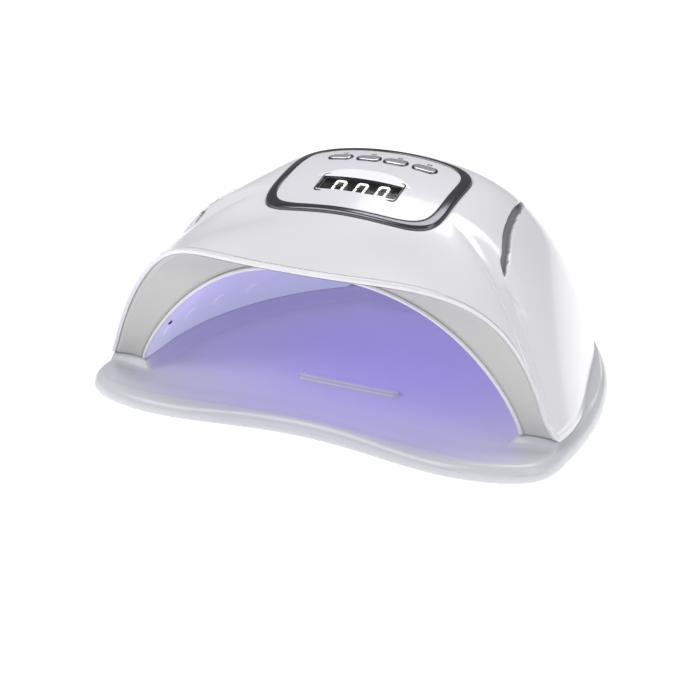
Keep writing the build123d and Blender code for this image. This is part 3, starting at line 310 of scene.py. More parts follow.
LOOKS = {
    "base_plate": milk,
    "rubber_feet": rubber,
    "base_magnets": nickel,
    "upper_shell": pearl,
    "vent_insert_right": recess_painted_shade,
    "vent_insert_left": recess_painted_shade,
    "mouth_flange": satin_grey,
    "reflector_liner": pearl,
    "bottom_frame": frame_grey,
    "frame_screws": steel,
    "housing_magnets": nickel,
    "chrome_trim": dark_chrome,
    "control_panel": pearl_panel,
    "display_window": window_smoke,
    "digit_segments": strip_white,
    "display_module": module_black,
    "control_board": board_green,
    "board_screws": steel,
    "tact_switches": black,
    "led_strips": strip_white,
    "led_packages": phosphor,
    # The LED lenses share the reflector's material with its painted violet light; as lamps their own glow is
    # real
    "led_lenses": reflector,
    "sensor_emitter": sensor_black,
    "sensor_receiver": sensor_black,
    "power_jack": black,
    "jack_pin": brass,
    "jack_nut": steel,
    "supply_lead_positive": lead_red,
    "supply_lead_negative": lead_black,
    "light_lead_right": lead_white,
    "light_lead_left": lead_white,
}
for number in range(1, 5):
    LOOKS[f"timer_button_{number}"] = bright_chrome
    LOOKS[f"switch_plunger_{number}"] = ivory
for node, look in LOOKS.items():
    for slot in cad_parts[node].material_slots:
        slot.link = "OBJECT"
        slot.material = look


# Stage
FLOOR_REACH = 6.0
FLOOR_GLOW = 0.55
WORLD_STRENGTH = 0.38
floor_mesh = bpy.data.meshes.new("floor")
corners = [(-1, -1), (1, -1), (1, 1), (-1, 1)]
floor_mesh.from_pydata([(x * FLOOR_REACH, y * FLOOR_REACH, 0) for x, y in corners], [], [(0, 1, 2, 3)])
floor = bpy.data.objects.new("floor", floor_mesh)
scene.collection.objects.link(floor)
floor_look = moulded("floor_white", (0.90, 0.90, 0.91), 0.35, 0.003, Emission_Strength=FLOOR_GLOW)
floor_look.node_tree.nodes["Principled BSDF"].inputs["Emission Color"].default_value = (1.0, 1.0, 1.0, 1.0)
floor_mesh.materials.append(floor_look)

world = bpy.data.worlds.new("studio")
scene.world = world
world.use_nodes = True
world.node_tree.nodes["Background"].inputs["Color"].default_value = (0.97, 0.98, 1.0, 1.0)
world.node_tree.nodes["Background"].inputs["Strength"].default_value = WORLD_STRENGTH


def soft_box(name, place, target, size, power):
    """Square area light aimed at a point."""
    lamp = bpy.data.lights.new(name, "AREA")
    lamp.shape = "RECTANGLE"
    lamp.size, lamp.size_y = size
    lamp.energy = power
    holder = bpy.data.objects.new(name, lamp)
    scene.collection.objects.link(holder)
    holder.location = place
    aim = Vector(target) - Vector(place)
    holder.rotation_euler = aim.to_track_quat("-Z", "Y").to_euler()


soft_box("key", place=(-0.55, -0.75, 0.85), target=(0, 0, 0.05), size=(0.7, 0.7), power=4.7)
soft_box("side", place=(0.95, -0.35, 0.5), target=(0, 0, 0.06), size=(0.5, 0.8), power=1.7)
soft_box("top", place=(0.0, 0.25, 1.1), target=(0, 0, 0.05), size=(0.9, 0.5), power=5.4)


# The housing's forms
def ease(direction, values):
    """Smooth value at a direction between the keyed ones, by cubic pieces."""
    keys = KEY_DIRECTIONS
    last = len(keys) - 1
    k = 0
    while k < last - 1 and direction > keys[k + 1]:
        k += 1

    def slope(i):
        if i in (0, last):
            return 0.0
        return (values[i + 1] - values[i - 1]) / (keys[i + 1] - keys[i - 1])

    span = keys[k + 1] - keys[k]
    u = min(max((direction - keys[k]) / span, 0.0), 1.0)
    start = (1 + 2 * u) * (1 - u) ** 2 * values[k] + u * (1 - u) ** 2 * span * slope(k)
    end = u * u * (3 - 2 * u) * values[k + 1] + u * u * (u - 1) * span * slope(k + 1)
    return start + end


def crown_z(x, y):
    """Height of the panel's face."""
    return CROWN_Z - CROWN_BEND_X * x * x - CROWN_BEND_Y * (y - CROWN_Y) ** 2


def arch_point(share, half_width, rise, side_power, top_power):
    """Point of a pointed arch: share 0 is the crown and 1 the foot on +X."""
    t = abs(share) ** ARCH_CROWDING * pi / 2
    x = half_width * sin(t) ** (2 / side_power)
    z = rise * max(cos(t), 0.0) ** (2 / top_power)
    return (x if share >= 0 else -x), z


def brim_edge(share):
    """Outer edge of the mouth, from the crown (0) down to the foot (1)."""
    x, rise = arch_point(share, BRIM_HALF_WIDTH, BRIM_RISE, BRIM_SIDE_POWER, BRIM_TOP_POWER)
    lean = (1 - min(x / BRIM_HALF_WIDTH, 1.0) ** BRIM_LEAN_POWERS[0]) ** BRIM_LEAN_POWERS[1]
    curl = max(0.0, 1 - rise / BRIM_FOOT_HEIGHT) ** 2
    y = BRIM_LEG_Y + (BRIM_CROWN_Y - BRIM_LEG_Y) * lean + BRIM_FOOT_SETBACK * curl
    return Vector((x + BRIM_FOOT_FLARE * curl, y, SEAM_Z + rise))


def mouth_y(x):
    """Front edge of the reflector in plan."""
    bow = (1 - min(abs(x) / MOUTH_HALF_WIDTH, 1.0) ** MOUTH_BOW_POWERS[0]) ** MOUTH_BOW_POWERS[1]
    return MOUTH_LEG_Y + (MOUTH_CROWN_Y - MOUTH_LEG_Y) * bow


def liner_size(y):
    """Half width and rise of the reflector's inner arch at a station."""
    if y < LINER_WIDEST_Y:
        u = min((LINER_WIDEST_Y - y) / LINER_FRONT_LENGTH, 1.0)
        blend = 1 - u * u * (3 - 2 * u)
        return (
            MOUTH_HALF_WIDTH + (LINER_MAX_HALF_WIDTH - MOUTH_HALF_WIDTH) * blend,
            MOUTH_RISE + (LINER_MAX_RISE - MOUTH_RISE) * blend,
        )
    share = sqrt(1 - ((y - LINER_WIDEST_Y) / LINER_TAPER_LENGTH) ** 2)
    return LINER_MAX_HALF_WIDTH * share, LINER_MAX_RISE * share


def seam_corner(share):
    """Lower edge of the leg, from the mouth (0) round to the side (1)."""
    a = share * pi / 2
    front = BRIM_LEG_Y + BRIM_FOOT_SETBACK
    start = BRIM_HALF_WIDTH + BRIM_FOOT_FLARE
    x = start + (SIDE_HALF_WIDTH - start) * sin(a)
    return Vector((x, SEAM_WAIST_Y + (front - SEAM_WAIST_Y) * cos(a), SEAM_Z))


def seam_rear(share, shrink=0.0):
    """Lower edge of the housing, from the side (0) to the middle of the back (1)."""
    a = share * pi / 2
    dip = SEAM_DIP * sin(pi * min(sin(a) / SEAM_DIP_SPAN, 1.0)) ** 2
    x = (SIDE_HALF_WIDTH - shrink) * max(cos(a), 0.0) - dip
    return Vector((x, SEAM_WAIST_Y + (SEAM_REAR_LENGTH - shrink) * sin(a), SEAM_Z))


def rounded_point(direction, half_width, half_depth, power):
    """Point of a rounded rectangle about the panel's axis, direction 0 being the front."""
    s, c = abs(sin(direction)), abs(cos(direction))
    r = ((s / half_width) ** power + (c / half_depth) ** power) ** (-1 / power)
    return r * sin(direction), AXIS_Y - r * cos(direction)


class Wall:
    """Upright section of the dome through a point of its lower edge."""

    def __init__(self, edge):
        toward = degrees(atan2(edge.x, AXIS_Y - edge.y))
        fan = toward + FAN_TURN * exp(-(((toward - FAN_CENTRE) / FAN_SPREAD) ** 2))
        if edge.x < 0.01:
            fan = toward
        self.root = rounded_point(radians(fan), RING_HALF_WIDTH, RING_HALF_DEPTH, RING_POWER)
        span = hypot(edge.x - self.root[0], edge.y - self.root[1])
        self.out = ((edge.x - self.root[0]) / span, (edge.y - self.root[1]) / span)
        top = crown_z(*self.root) - SHELL_DROP
        alpha = radians(ease(toward, SLOPE_AT_RING))
        beta = radians(ease(toward, SLOPE_AT_EDGE))
        chord = hypot(span, top - edge.z)
        upper = ease(toward, REACH_AT_RING) * chord
        lower = ease(toward, REACH_AT_EDGE) * chord
        self.poles = np.array(
            [
                (0, top),
                (upper * cos(alpha), top - upper * sin(alpha)),
                (span - lower * cos(beta), edge.z + lower * sin(beta)),
                (span, edge.z),
            ]
        )
        inner = np.array((span - WALL * sin(beta), edge.z - WALL * cos(beta)))
        if inner[1] < SEAM_Z:
            inner = np.array((span - WALL / sin(beta), SEAM_Z))
        self.inner = inner

    def face(self, t):
        """Points of the outer face at an array of shares of the way down."""
        t = np.asarray(t)[:, None]
        p = self.poles
        return (1 - t) ** 3 * p[0] + 3 * t * (1 - t) ** 2 * p[1] + 3 * t * t * (1 - t) * p[2] + t**3 * p[3]

    def place(self, flat):
        """Points of the section as points in space."""
        flat = np.asarray(flat, float)
        x = self.root[0] + self.out[0] * flat[:, 0]
        y = self.root[1] + self.out[1] * flat[:, 0]
        return np.stack([x, y, flat[:, 1]], axis=1)


# Mesh tools
def grid_faces(rows, cols, wrap):
    """Quads over a grid of points, joined round if it wraps."""
    faces = []
    for r in range(rows - 1):
        for c in range(cols if wrap else cols - 1):
            d = (c + 1) % cols
            faces.append((r * cols + c, r * cols + d, (r + 1) * cols + d, (r + 1) * cols + c))
    return faces


def make_piece(name, parts, look, body, *replaced, slot=None, turn=False):
    """Smooth piece from grids of points in millimetres: parts is a list of (points, wrap)."""
    verts, faces = [], []
    for points, wrap in parts:
        rows, cols = points.shape[:2]
        start = len(verts)
        verts += (points.reshape(-1, 3) * MM).tolist()
        faces += [tuple(start + i for i in face) for face in grid_faces(rows, cols, wrap)]
    if turn:
        faces = [face[::-1] for face in faces]
    mesh = bpy.data.meshes.new(name)
    mesh.from_pydata(verts, [], faces)
    mesh.validate()
    mesh.polygons.foreach_set("use_smooth", [True] * len(mesh.polygons))
    mesh.materials.append(look)
    piece = bpy.data.objects.new(name, mesh)
    scene.collection.objects.link(piece)
    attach(piece, body)
    if replaced:
        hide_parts(*replaced)
    return piece


def mirrored(columns):
    """Columns of the right half followed by their mirror images, back to the start."""
    left = columns[:, -2:0:-1] * np.array((-1.0, 1.0, 1.0))
    return np.concatenate([columns, left], axis=1)


def normals(points):
    """Unit normals of a grid of points, by differences along and across."""
    down = np.gradient(points, axis=0)
    across = np.gradient(points, axis=1)
    n = np.cross(down, across)
    return n / np.maximum(np.linalg.norm(n, axis=2, keepdims=True), 1e-9)


def smooth(value):
    """Rises softly from 0 to 1."""
    v = np.clip(value, 0.0, 1.0)
    return v * v * (3 - 2 * v)


def curve_through(points, count=14):
    """Smooth line through points, as an array."""
    p = [np.array(q, float) for q in points]
    p = [2 * p[0] - p[1]] + p + [2 * p[-1] - p[-2]]
    line = []
    for i in range(1, len(p) - 2):
        for k in range(count):
            t = k / count
            line.append(
                0.5
                * (
                    2 * p[i]
                    + (p[i + 1] - p[i - 1]) * t
                    + (2 * p[i - 1] - 5 * p[i] + 4 * p[i + 1] - p[i + 2]) * t * t
                    + (3 * p[i] - p[i - 1] - 3 * p[i + 1] + p[i + 2]) * t**3
                )
            )
    line.append(p[-2])
    return np.array(line)


def distance_to(line, spots):
    """Distance from each spot to a line of points, which side it is on, and how far along."""
    best = np.full(len(spots), 1e9)
    side = np.zeros(len(spots))
    along = np.zeros(len(spots))
    steps = np.linalg.norm(np.diff(line, axis=0), axis=1)
    reached = np.concatenate([[0.0], np.cumsum(steps)])
    for i, (a, b) in enumerate(zip(line[:-1], line[1:])):
        d = b - a
        t = np.clip(((spots - a) @ d) / max(d @ d, 1e-12), 0, 1)
        gap = spots - (a + t[:, None] * d)
        length = np.linalg.norm(gap, axis=1)
        closer = length < best
        best = np.where(closer, length, best)
        cross = d[0] * gap[:, 1] - d[1] * gap[:, 0]
        side = np.where(closer, np.sign(cross), side)
        along = np.where(closer, reached[i] + t * steps[i], along)
    return best, side, along


def inside(line, spots):
    """Whether each spot lies inside a closed line."""
    hit = np.zeros(len(spots), bool)
    for a, b in zip(line, np.roll(line, -1, axis=0)):
        crosses = (a[1] > spots[:, 1]) != (b[1] > spots[:, 1])
        rise = b[1] - a[1]
        x = a[0] + (spots[:, 1] - a[1]) * (b[0] - a[0]) / (rise if abs(rise) > 1e-12 else 1e-12)
        hit ^= crosses & (spots[:, 0] < x)
    return hit


# Base plate: rounded side band, crest line, shallow dish and a soft collar under the housing
BASE_RING = 180
SEAT_BEVEL = (1.0, 0.5)
SEAT_BEVEL_FROM = 2.0
HOLLOW_REACH = 30


def base_line(inset):
    """Closed line round the base plate, drawn in by an inset, as (x, y)."""
    half, length = BASE_HALF_WIDTH - inset, BASE_FRONT_LENGTH - inset
    line = []
    for i in range(BASE_RING):
        a = pi * i / BASE_RING
        line.append((half * cos(a), BASE_WAIST_Y + (BASE_REAR_LENGTH - inset) * sin(a)))
    for i in range(BASE_RING):
        v = 2 * i / BASE_RING
        u = v if v <= 1 else 2 - v
        t = pi / 2 * u * u * (3 - 2 * u)
        x = -half * max(cos(t), 0.0) ** (2 / BASE_CORNER_POWER)
        y = BASE_WAIST_Y - length * sin(t) ** (2 / BASE_CORNER_POWER)
        y += BASE_FRONT_DIP * cos(pi / 2 * min(abs(x) / BASE_DIP_HALF_WIDTH, 1.0)) ** 2
        line.append((x if v <= 1 else -x, y))
    return np.array(line)


def outline_distance(line, spots):
    """Distance of each spot from a closed line, negative inside it."""
    gap, _, _ = distance_to(np.concatenate([line, line[:1]]), spots)
    return np.where(inside(line, spots), -gap, gap)


def seat_distance(spots):
    """Distance from the band that carries the housing, negative on it."""
    half = [seam_rear(i / 40, SEAT_INSET) for i in range(41)]
    rim = [(p.x, p.y) for p in half] + [(-p.x, p.y) for p in half[-2::-1]]
    wide, bevel_y, start_y = rim[0][0], SEAT_FRONT_Y + SEAT_BEVEL[1], SEAT_FRONT_Y + SEAT_BEVEL_FROM
    corner = [(-wide + SEAT_BEVEL[0], bevel_y), (wide - SEAT_BEVEL[0], bevel_y)]
    outer = np.array(rim + [(rim[-1][0], start_y)] + corner + [(wide, start_y)])
    stations = np.linspace(LINER_REAR_Y, SEAT_FRONT_Y, 24)
    side = [(liner_size(y)[0] + SEAT_STEP, y) for y in stations]
    front = [(side[-1][0], SEAT_FRONT_Y - HOLLOW_REACH), (-side[-1][0], SEAT_FRONT_Y - HOLLOW_REACH)]
    hollow = np.array(side + front + [(-x, y) for x, y in side[::-1]])
    return np.maximum(outline_distance(outer, spots), -outline_distance(hollow, spots))


# Side band and crest of the base plate, as (inset, height)
BAND_LINE = [
    (4.5, 0.85),
    (3.0, 0.8),
    (1.6, 1.05),
    (0.7, 1.7),
    (0.2, 2.6),
    (0.0, 3.7),
    (0.05, 4.9),
    (0.3, 6.1),
    (0.75, 7.2),
    (1.4, 8.1),
    (2.2, 8.75),
    (2.9, 9.08),
    (3.4, 9.16),
    (3.9, 9.08),
    (4.8, 8.9),
]
CREST_SPREAD = 1.2
CREST_CENTRE = 62.0
CREST_WIDTH = 24.0
COLLAR_REACH = 6.5
COLLAR_FROM, COLLAR_OVER = 0.6, 2.4
LEAN_FROM, LEAN_OVER = 4.0, 5.0
SKIN_TOP = 9.1
SHOULDER_DROP, SHOULDER_FROM, SHOULDER_OVER = 0.35, 4.0, 5.0
DISH_DEPTH, DISH_FROM, DISH_OVER = 1.0, 10.0, 16.0
EDGE_WIDTH = 5.0
MIDDLE_ROWS = 100
full_line = base_line(0.0)
lean_in = CREST_SPREAD * np.exp(-(((np.abs(full_line[:, 0]) - CREST_CENTRE) / CREST_WIDTH) ** 2))
lean_in = np.where(full_line[:, 1] < BASE_WAIST_Y, lean_in, 0.0)


def base_row(inset, z):
    """Ring of points round the base plate; above its middle it leans in further beside the waist."""
    share = min(max((z - LEAN_FROM) / LEAN_OVER, 0.0), 1.0)
    near, far = base_line(inset), base_line(inset * 2)
    line = near + (far - near) * (lean_in * share)[:, None]
    return np.column_stack([line, np.full(len(line), z)])


base_rows = [base_row(inset, z) for inset, z in BAND_LINE]
shoulder = base_rows[-1]
for keep in np.linspace(1, 0, MIDDLE_ROWS)[1:]:
    row = shoulder.copy()
    row[:, 0] *= keep
    row[:, 1] = BASE_MIDDLE_Y + (row[:, 1] - BASE_MIDDLE_Y) * keep
    base_rows.append(row)
base_grid = np.stack(base_rows)
top = base_grid[len(BAND_LINE) - 3 :].reshape(-1, 3)
far_in = -outline_distance(full_line, top[:, :2])
plateau = SKIN_TOP - SHOULDER_DROP * smooth((far_in - SHOULDER_FROM) / SHOULDER_OVER)
plateau -= DISH_DEPTH * smooth((far_in - DISH_FROM) / DISH_OVER)
rise = 1 - smooth(seat_distance(top[:, :2]) / COLLAR_REACH)
flat = np.where(far_in < EDGE_WIDTH, top[:, 2], plateau)
top[:, 2] = flat + (SEAT_TOP - flat) * rise * smooth((far_in - COLLAR_FROM) / COLLAR_OVER)
base_grid[len(BAND_LINE) - 3 :] = top.reshape(-1, *base_grid.shape[1:])
make_piece("base_skin", [(base_grid, True)], milk, "base", "base_plate", slot="base_frost")

# Underside of the base plate, with its ribs and the recesses for the feet
UNDERSIDE_TOP = 5.3 * MM
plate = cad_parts["base_plate"].data
low_faces = []
for face in plate.polygons:
    if max(plate.vertices[v].co.z for v in face.vertices) < UNDERSIDE_TOP:
        low_faces.append(tuple(face.vertices))
used = sorted({v for face in low_faces for v in face})
place_of = {v: i for i, v in enumerate(used)}
under_points = [tuple(plate.vertices[v].co) for v in used]
under_mesh = bpy.data.meshes.new("base_underside")
under_mesh.from_pydata(under_points, [], [tuple(place_of[v] for v in face) for face in low_faces])
under_mesh.materials.append(milk)
underside = bpy.data.objects.new("base_underside", under_mesh)
scene.collection.objects.link(underside)
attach(underside, "base")

# Finger bar in the dish, its section as (growth, height)
FINGER_BAR_LINE = [
    (0.9, 7.5),
    (0.45, 7.95),
    (0.2, 8.5),
    (0.1, 9.1),
    (-0.1, 9.55),
    (-0.5, 9.8),
    (-1.1, 9.9),
    (-2.2, 9.92),
]


def slot_line(length, radius, count=24):
    """Closed line round a slot, as (x, y) about its middle."""
    turns_a = np.linspace(-pi / 2, pi / 2, count)
    straight = length / 2 - radius
    right_end = np.column_stack([straight + radius * np.cos(turns_a), radius * np.sin(turns_a)])
    return np.concatenate([right_end, -right_end])


bar_rows = []
for grow, z in FINGER_BAR_LINE:
    radius = RIDGE_WIDTH / 2 + grow
    line = slot_line(2 * (RIDGE_HALF_LENGTH + grow), radius)
    bar_rows.append(np.column_stack([line[:, 0], line[:, 1] + RIDGE_Y, np.full(len(line), z)]))
make_piece("finger_bar", [(np.stack(bar_rows), True)], milk, "base", slot="base_frost")

# Housing shell, with a vent under a hood on each side
EDGE_ROUND = 0.9
EDGE_RETURN = 2.2
SHELL_LIP = [(0.0, PANEL_THICK), (0.0, 0.5), (0.1, 0.2)]
VENT_DEPTH = 3.9
VENT_UPPER_EDGE, VENT_LOWER_EDGE = 0.5, 0.9
TIP_FADE = 12.0
PAINTED_SHADE_FROM = 0.8
HOOD_HEIGHT = 0.55
HOOD_REACH = 6.0
HOOD_FROM_X = 30
HOOD_START, HOOD_END = 25.0, 45.0
HOOD_CRISP, HOOD_SOFTER, HOOD_SOFT_FROM, HOOD_SOFT_OVER = 0.5, 3.0, 85.0, 25.0
INSIDE_SPOT = (0.0, -20.0, 30.0)
CHEEK_LINE = [(-56.0, 61.0), (-54.0, 50.0), (-51.0, 39.0), (-49.0, 31.0)]

# Columns and rows of the shell, as (share, steps up to the next share)
FRONT_STOPS = [(0, 45), (0.55, 65), (1.0, 0)]
CORNER_STOPS = [(0, 20), (1.0, 0)]
REAR_STOPS = [(0, 115), (0.75, 23), (1.0, 0)]
FALL_STOPS = [(0.008, 8), (0.1, 83), (0.6, 27), (1.0, 0)]


def shares_through(stops):
    """Shares from the first stop to the last, each stretch in its own number of steps."""
    stretches = [np.linspace(a, b, steps + 1)[:-1] for (a, steps), (b, _) in zip(stops, stops[1:])]
    return np.concatenate(stretches + [[stops[-1][0]]])


edges = (
    [brim_edge(s) for s in shares_through(FRONT_STOPS)[:-1]]
    + [seam_corner(s) for s in shares_through(CORNER_STOPS)[:-1]]
    + [seam_rear(s) for s in shares_through(REAR_STOPS)]
)
walls = [Wall(edge) for edge in edges]
falls = shares_through(FALL_STOPS)


def shell_section(wall):
    """Line down the shell: the lip by the trim ring, the face, the rounded edge and its return."""
    face = wall.face(falls)
    top = wall.poles[0][1]
    lip = [(out, top - drop) for out, drop in SHELL_LIP]
    end = face[-1]
    far = np.linalg.norm(face - end, axis=1) > EDGE_ROUND
    kept = face.copy()
    last = face[far][-1]
    kept[~far] = last
    inward = (wall.inner - end) / np.linalg.norm(wall.inner - end)
    stop = end + inward * EDGE_ROUND
    bend = [(1 - t) ** 2 * last + 2 * t * (1 - t) * end + t * t * stop for t in (0.25, 0.5, 0.75, 1.0)]
    line = np.concatenate([np.array(lip), kept, np.array(bend), [end + inward * EDGE_RETURN]])
    return wall.place(line)


half_shell = np.stack([shell_section(wall) for wall in walls], axis=1)
upper_line = curve_through([VENT_TIP] + VENT_UPPER + [VENT_TAIL])
lower_line = curve_through([VENT_TAIL] + VENT_LOWER + [VENT_TIP])
vent_loop = np.concatenate([upper_line[:-1], lower_line[:-1]])
hood_line = curve_through([VENT_TAIL] + VENT_UPPER[::-1] + [VENT_TIP] + CHEEK_LINE)
hood_length = float(np.linalg.norm(np.diff(hood_line, axis=0), axis=1).sum())

rows, cols = half_shell.shape[:2]
spots = half_shell.reshape(-1, 3)
side_view = spots[:, 1:]
within = inside(vent_loop, side_view)
to_upper, _, _ = distance_to(upper_line, side_view)
to_lower, _, _ = distance_to(lower_line, side_view)
from_tip = np.linalg.norm(side_view - np.array(VENT_TIP), axis=1)
slope_in = smooth(to_upper / VENT_UPPER_EDGE) * smooth(to_lower / VENT_LOWER_EDGE)
sink = np.where(within, VENT_DEPTH * slope_in, 0.0)
sink *= smooth(from_tip / TIP_FADE)
off, hand, along = distance_to(hood_line, side_view)
fade = smooth(along / HOOD_START) * smooth((hood_length - along) / HOOD_END)
soft = HOOD_CRISP + HOOD_SOFTER * smooth((along - HOOD_SOFT_FROM) / HOOD_SOFT_OVER)
step = HOOD_HEIGHT * hand * off / (off + soft) * np.exp(-off / HOOD_REACH) * fade
step = np.where(spots[:, 0] > HOOD_FROM_X, step, 0.0)
outward = normals(half_shell).reshape(-1, 3)
flip = np.sign(((spots - np.array(INSIDE_SPOT)) * outward).sum(axis=1))
outward *= flip[:, None]
moved = spots + outward * (step - sink)[:, None]
shell_grid = mirrored(moved.reshape(rows, cols, 3))
shell = make_piece("shell_skin", [(shell_grid, True)], pearl, "housing", "upper_shell", slot="shell_pearl")
# Painted shade: shell faces sunk deep in each vent take the grey recess material
shell.data.materials.append(recess_painted_shade)
depths = mirrored(np.repeat(sink.reshape(rows, cols, 1), 3, axis=2))[:, :, 1].ravel()
for face in shell.data.polygons:
    if sum(depths[v] for v in face.vertices) > 4 * PAINTED_SHADE_FROM:
        face.material_index = 1

# Round boss of the power inlet at the back
BOSS_COUNT = 96
turns = np.linspace(0, 2 * pi, BOSS_COUNT + 1)[:-1]


def ring_at(radius, y):
    """Circle about the inlet's axis."""
    return np.stack([radius * np.cos(turns), np.full(BOSS_COUNT, y), JACK_Z + radius * np.sin(turns)], axis=1)


BOSS_LINE = [
    (JACK_BOSS_RADIUS, 16.0),
    (JACK_BOSS_RADIUS, 0.8),
    (7.35, 0.25),
    (6.8, 0.0),
    (5.4, 0.0),
    (4.6, 0.1),
    (JACK_SLEEVE_RADIUS, 0.4),
    (JACK_SLEEVE_RADIUS, 4.0),
]
boss = np.stack([ring_at(radius, JACK_FACE_Y - depth) for radius, depth in BOSS_LINE])
make_piece("inlet_boss", [(boss, True)], pearl, "housing", slot="shell_pearl")

# Flange round the mouth
FLANGE_COUNT = 121
shares = np.linspace(-1, 1, FLANGE_COUNT)
LIP_OUT = LINER_WALL + 0.1
LIP_BACK = 0.9
TUCK_LINE = [(-0.5, 1.6), (-0.4, 0.5)]
TUCK_OVER = 0.3
TUCK_BACK = 1.8
HOLLOW_START, HOLLOW_DEPTH = 0.15, 0.5
SEAM_CLEAR = 0.05


def flange_section(share):
    """Line across the flange from behind the brim to behind the reflector's lip."""
    edge = brim_edge(abs(share))
    wall = Wall(edge)
    outer = wall.place([wall.inner])[0]
    x, rise = arch_point(
        abs(share), MOUTH_HALF_WIDTH + LIP_OUT, MOUTH_RISE + LIP_OUT, MOUTH_SIDE_POWER, MOUTH_TOP_POWER
    )
    inner = np.array((x, mouth_y(x) + LIP_BACK, SEAM_Z + rise))
    across = (inner - outer) / np.linalg.norm(inner - outer)
    back = np.array((0.0, 1.0, 0.0))
    width = np.linalg.norm(inner - outer)
    line = [outer + across * inset + back * depth for inset, depth in TUCK_LINE]
    for t in np.linspace(0, 1, 9):
        hollow = HOLLOW_START + HOLLOW_DEPTH * sin(pi * t)
        line.append(outer + across * (width * t - TUCK_OVER * (1 - t)) + back * hollow)
    line.append(inner + back * TUCK_BACK)
    line = np.array(line)
    line[:, 2] = np.maximum(line[:, 2], SEAM_Z + SEAM_CLEAR)
    return line if share >= 0 else line * np.array((-1.0, 1.0, 1.0))


flange = np.stack([flange_section(s) for s in shares], axis=1)
make_piece("mouth_band", [(flange, False)], satin_grey, "housing", "mouth_flange", slot="flange_grey")

# Reflector, with a rounded lip at the mouth and a soft corner at the rear wall
arch_shares = np.linspace(-1, 1, 193)
LIP_LINE = [
    (2.0, 6.0),
    (2.0, 0.9),
    (1.8, 0.35),
    (1.35, 0.05),
    (0.9, 0.0),
    (0.45, 0.1),
    (0.12, 0.45),
    (0.0, 1.0),
]
REAR_CORNER = 5.0
REAR_HALF_WIDTH = 48
REAR_RISE = 31


def arch_row(grow, y_of):
    """Points round the arch, grown outward, at a station that may vary with x."""
    row = []
    for share in arch_shares:
        x, _ = arch_point(share, MOUTH_HALF_WIDTH, MOUTH_RISE, MOUTH_SIDE_POWER, MOUTH_TOP_POWER)
        y = y_of(x)
        half_width, rise = liner_size(y)
        ax, az = arch_point(share, half_width + grow, rise + grow, MOUTH_SIDE_POWER, MOUTH_TOP_POWER)
        row.append((ax, y, SEAM_Z + az))
    return np.array(row)


liner_rows = [arch_row(grow, lambda x, d=depth: mouth_y(x) + d) for grow, depth in LIP_LINE]
for blend in np.linspace(0.02, 1, 46):
    rear = LINER_REAR_Y - REAR_CORNER
    liner_rows.append(arch_row(0.0, lambda x, b=blend: (mouth_y(x) + 1) * (1 - b) + rear * b))
last_row = liner_rows[-1].copy()
for turn in np.linspace(0, pi / 2, 9)[1:]:
    row = last_row.copy()
    row[:, 0] *= 1 - (1 - cos(turn)) * REAR_CORNER / REAR_HALF_WIDTH
    row[:, 2] = SEAM_Z + (row[:, 2] - SEAM_Z) * (1 - (1 - cos(turn)) * REAR_CORNER / REAR_RISE)
    row[:, 1] = LINER_REAR_Y - REAR_CORNER + REAR_CORNER * sin(turn)
    liner_rows.append(row)
edge_row = liner_rows[-1].copy()
for keep in np.linspace(1, 0, 13)[1:]:
    row = edge_row.copy()
    row[:, 0] *= keep
    row[:, 2] = SEAM_Z + (row[:, 2] - SEAM_Z) * keep
    liner_rows.append(row)
liner = np.stack(liner_rows)
# The reflector skin carries the painted violet light and painted glow; its lip keeps the plain pearl
inner_arch = make_piece(
    "reflector_skin", [(liner, False)], reflector, "housing", "reflector_liner", slot="reflector_white"
)
inner_arch.data.materials.append(pearl)
lip_faces = (len(LIP_LINE) - 1) * (len(arch_shares) - 1)
for face in inner_arch.data.polygons:
    if face.index < lip_faces:
        face.material_index = 1


# Trim ring
def crown_ring(half_width, half_depth, power, lift, count=240):
    """Closed line on the crown, lifted above the panel's face."""
    line = []
    for i in range(count):
        x, y = rounded_point(2 * pi * i / count, half_width, half_depth, power)
        line.append((x, y, crown_z(x, y) + lift))
    return np.array(line)


gap = RING_GAP
wide = RING_HALF_WIDTH - gap - PANEL_HALF_WIDTH
deep = RING_HALF_DEPTH - gap - PANEL_HALF_DEPTH
TRIM_LINE = [
    (1.0, -2.3),
    (1.0, -0.25),
    (0.98, 0.1),
    (0.92, 0.36),
    (0.82, 0.52),
    (0.7, 0.58),
    (0.5, 0.55),
    (0.3, 0.45),
    (0.14, 0.3),
    (0.05, 0.12),
    (0.0, -0.1),
    (0.0, -2.3),
]
trim = np.stack(
    [
        crown_ring(PANEL_HALF_WIDTH + wide * s, PANEL_HALF_DEPTH + deep * s, PANEL_POWER, lift)
        for s, lift in TRIM_LINE
    ]
)
make_piece("trim_ring", [(trim, True)], dark_chrome, "housing", "chrome_trim", slot="trim_chrome")

# Control panel: dark chrome rings round the buttons as painted shade and reflection, lit digits, the white
# arch behind the display and numbers
def on_face(points, lift):
    """Points (x, y) laid on the panel's face, lifted by a height."""
    points = np.asarray(points, float)
    return np.column_stack([points, crown_z(points[:, 0], points[:, 1]) + lift])


# Sections of the dark rings round the buttons (painted shade and reflection) and the window's frame, as
# (growth, lift)
SHADE_RING_LINE = [
    (0.12, -1.0),
    (0.12, 0.05),
    (0.22, 0.28),
    (0.45, 0.4),
    (0.75, 0.34),
    (0.95, 0.12),
    (1.0, -0.3),
]
shade_rings = []
for x in BUTTON_XS:
    rings = []
    for grow, lift in SHADE_RING_LINE:
        line = slot_line(BUTTON_SIZE[0] + 2 * grow, BUTTON_SIZE[1] / 2 + grow) + np.array((x, BUTTON_Y))
        rings.append(on_face(line, lift))
    shade_rings.append((np.stack(rings), True))
# Dark rings standing in for the shade and dark reflection round each button
make_piece("button_shade_rings", shade_rings, dark_chrome, "housing", slot="trim_chrome")

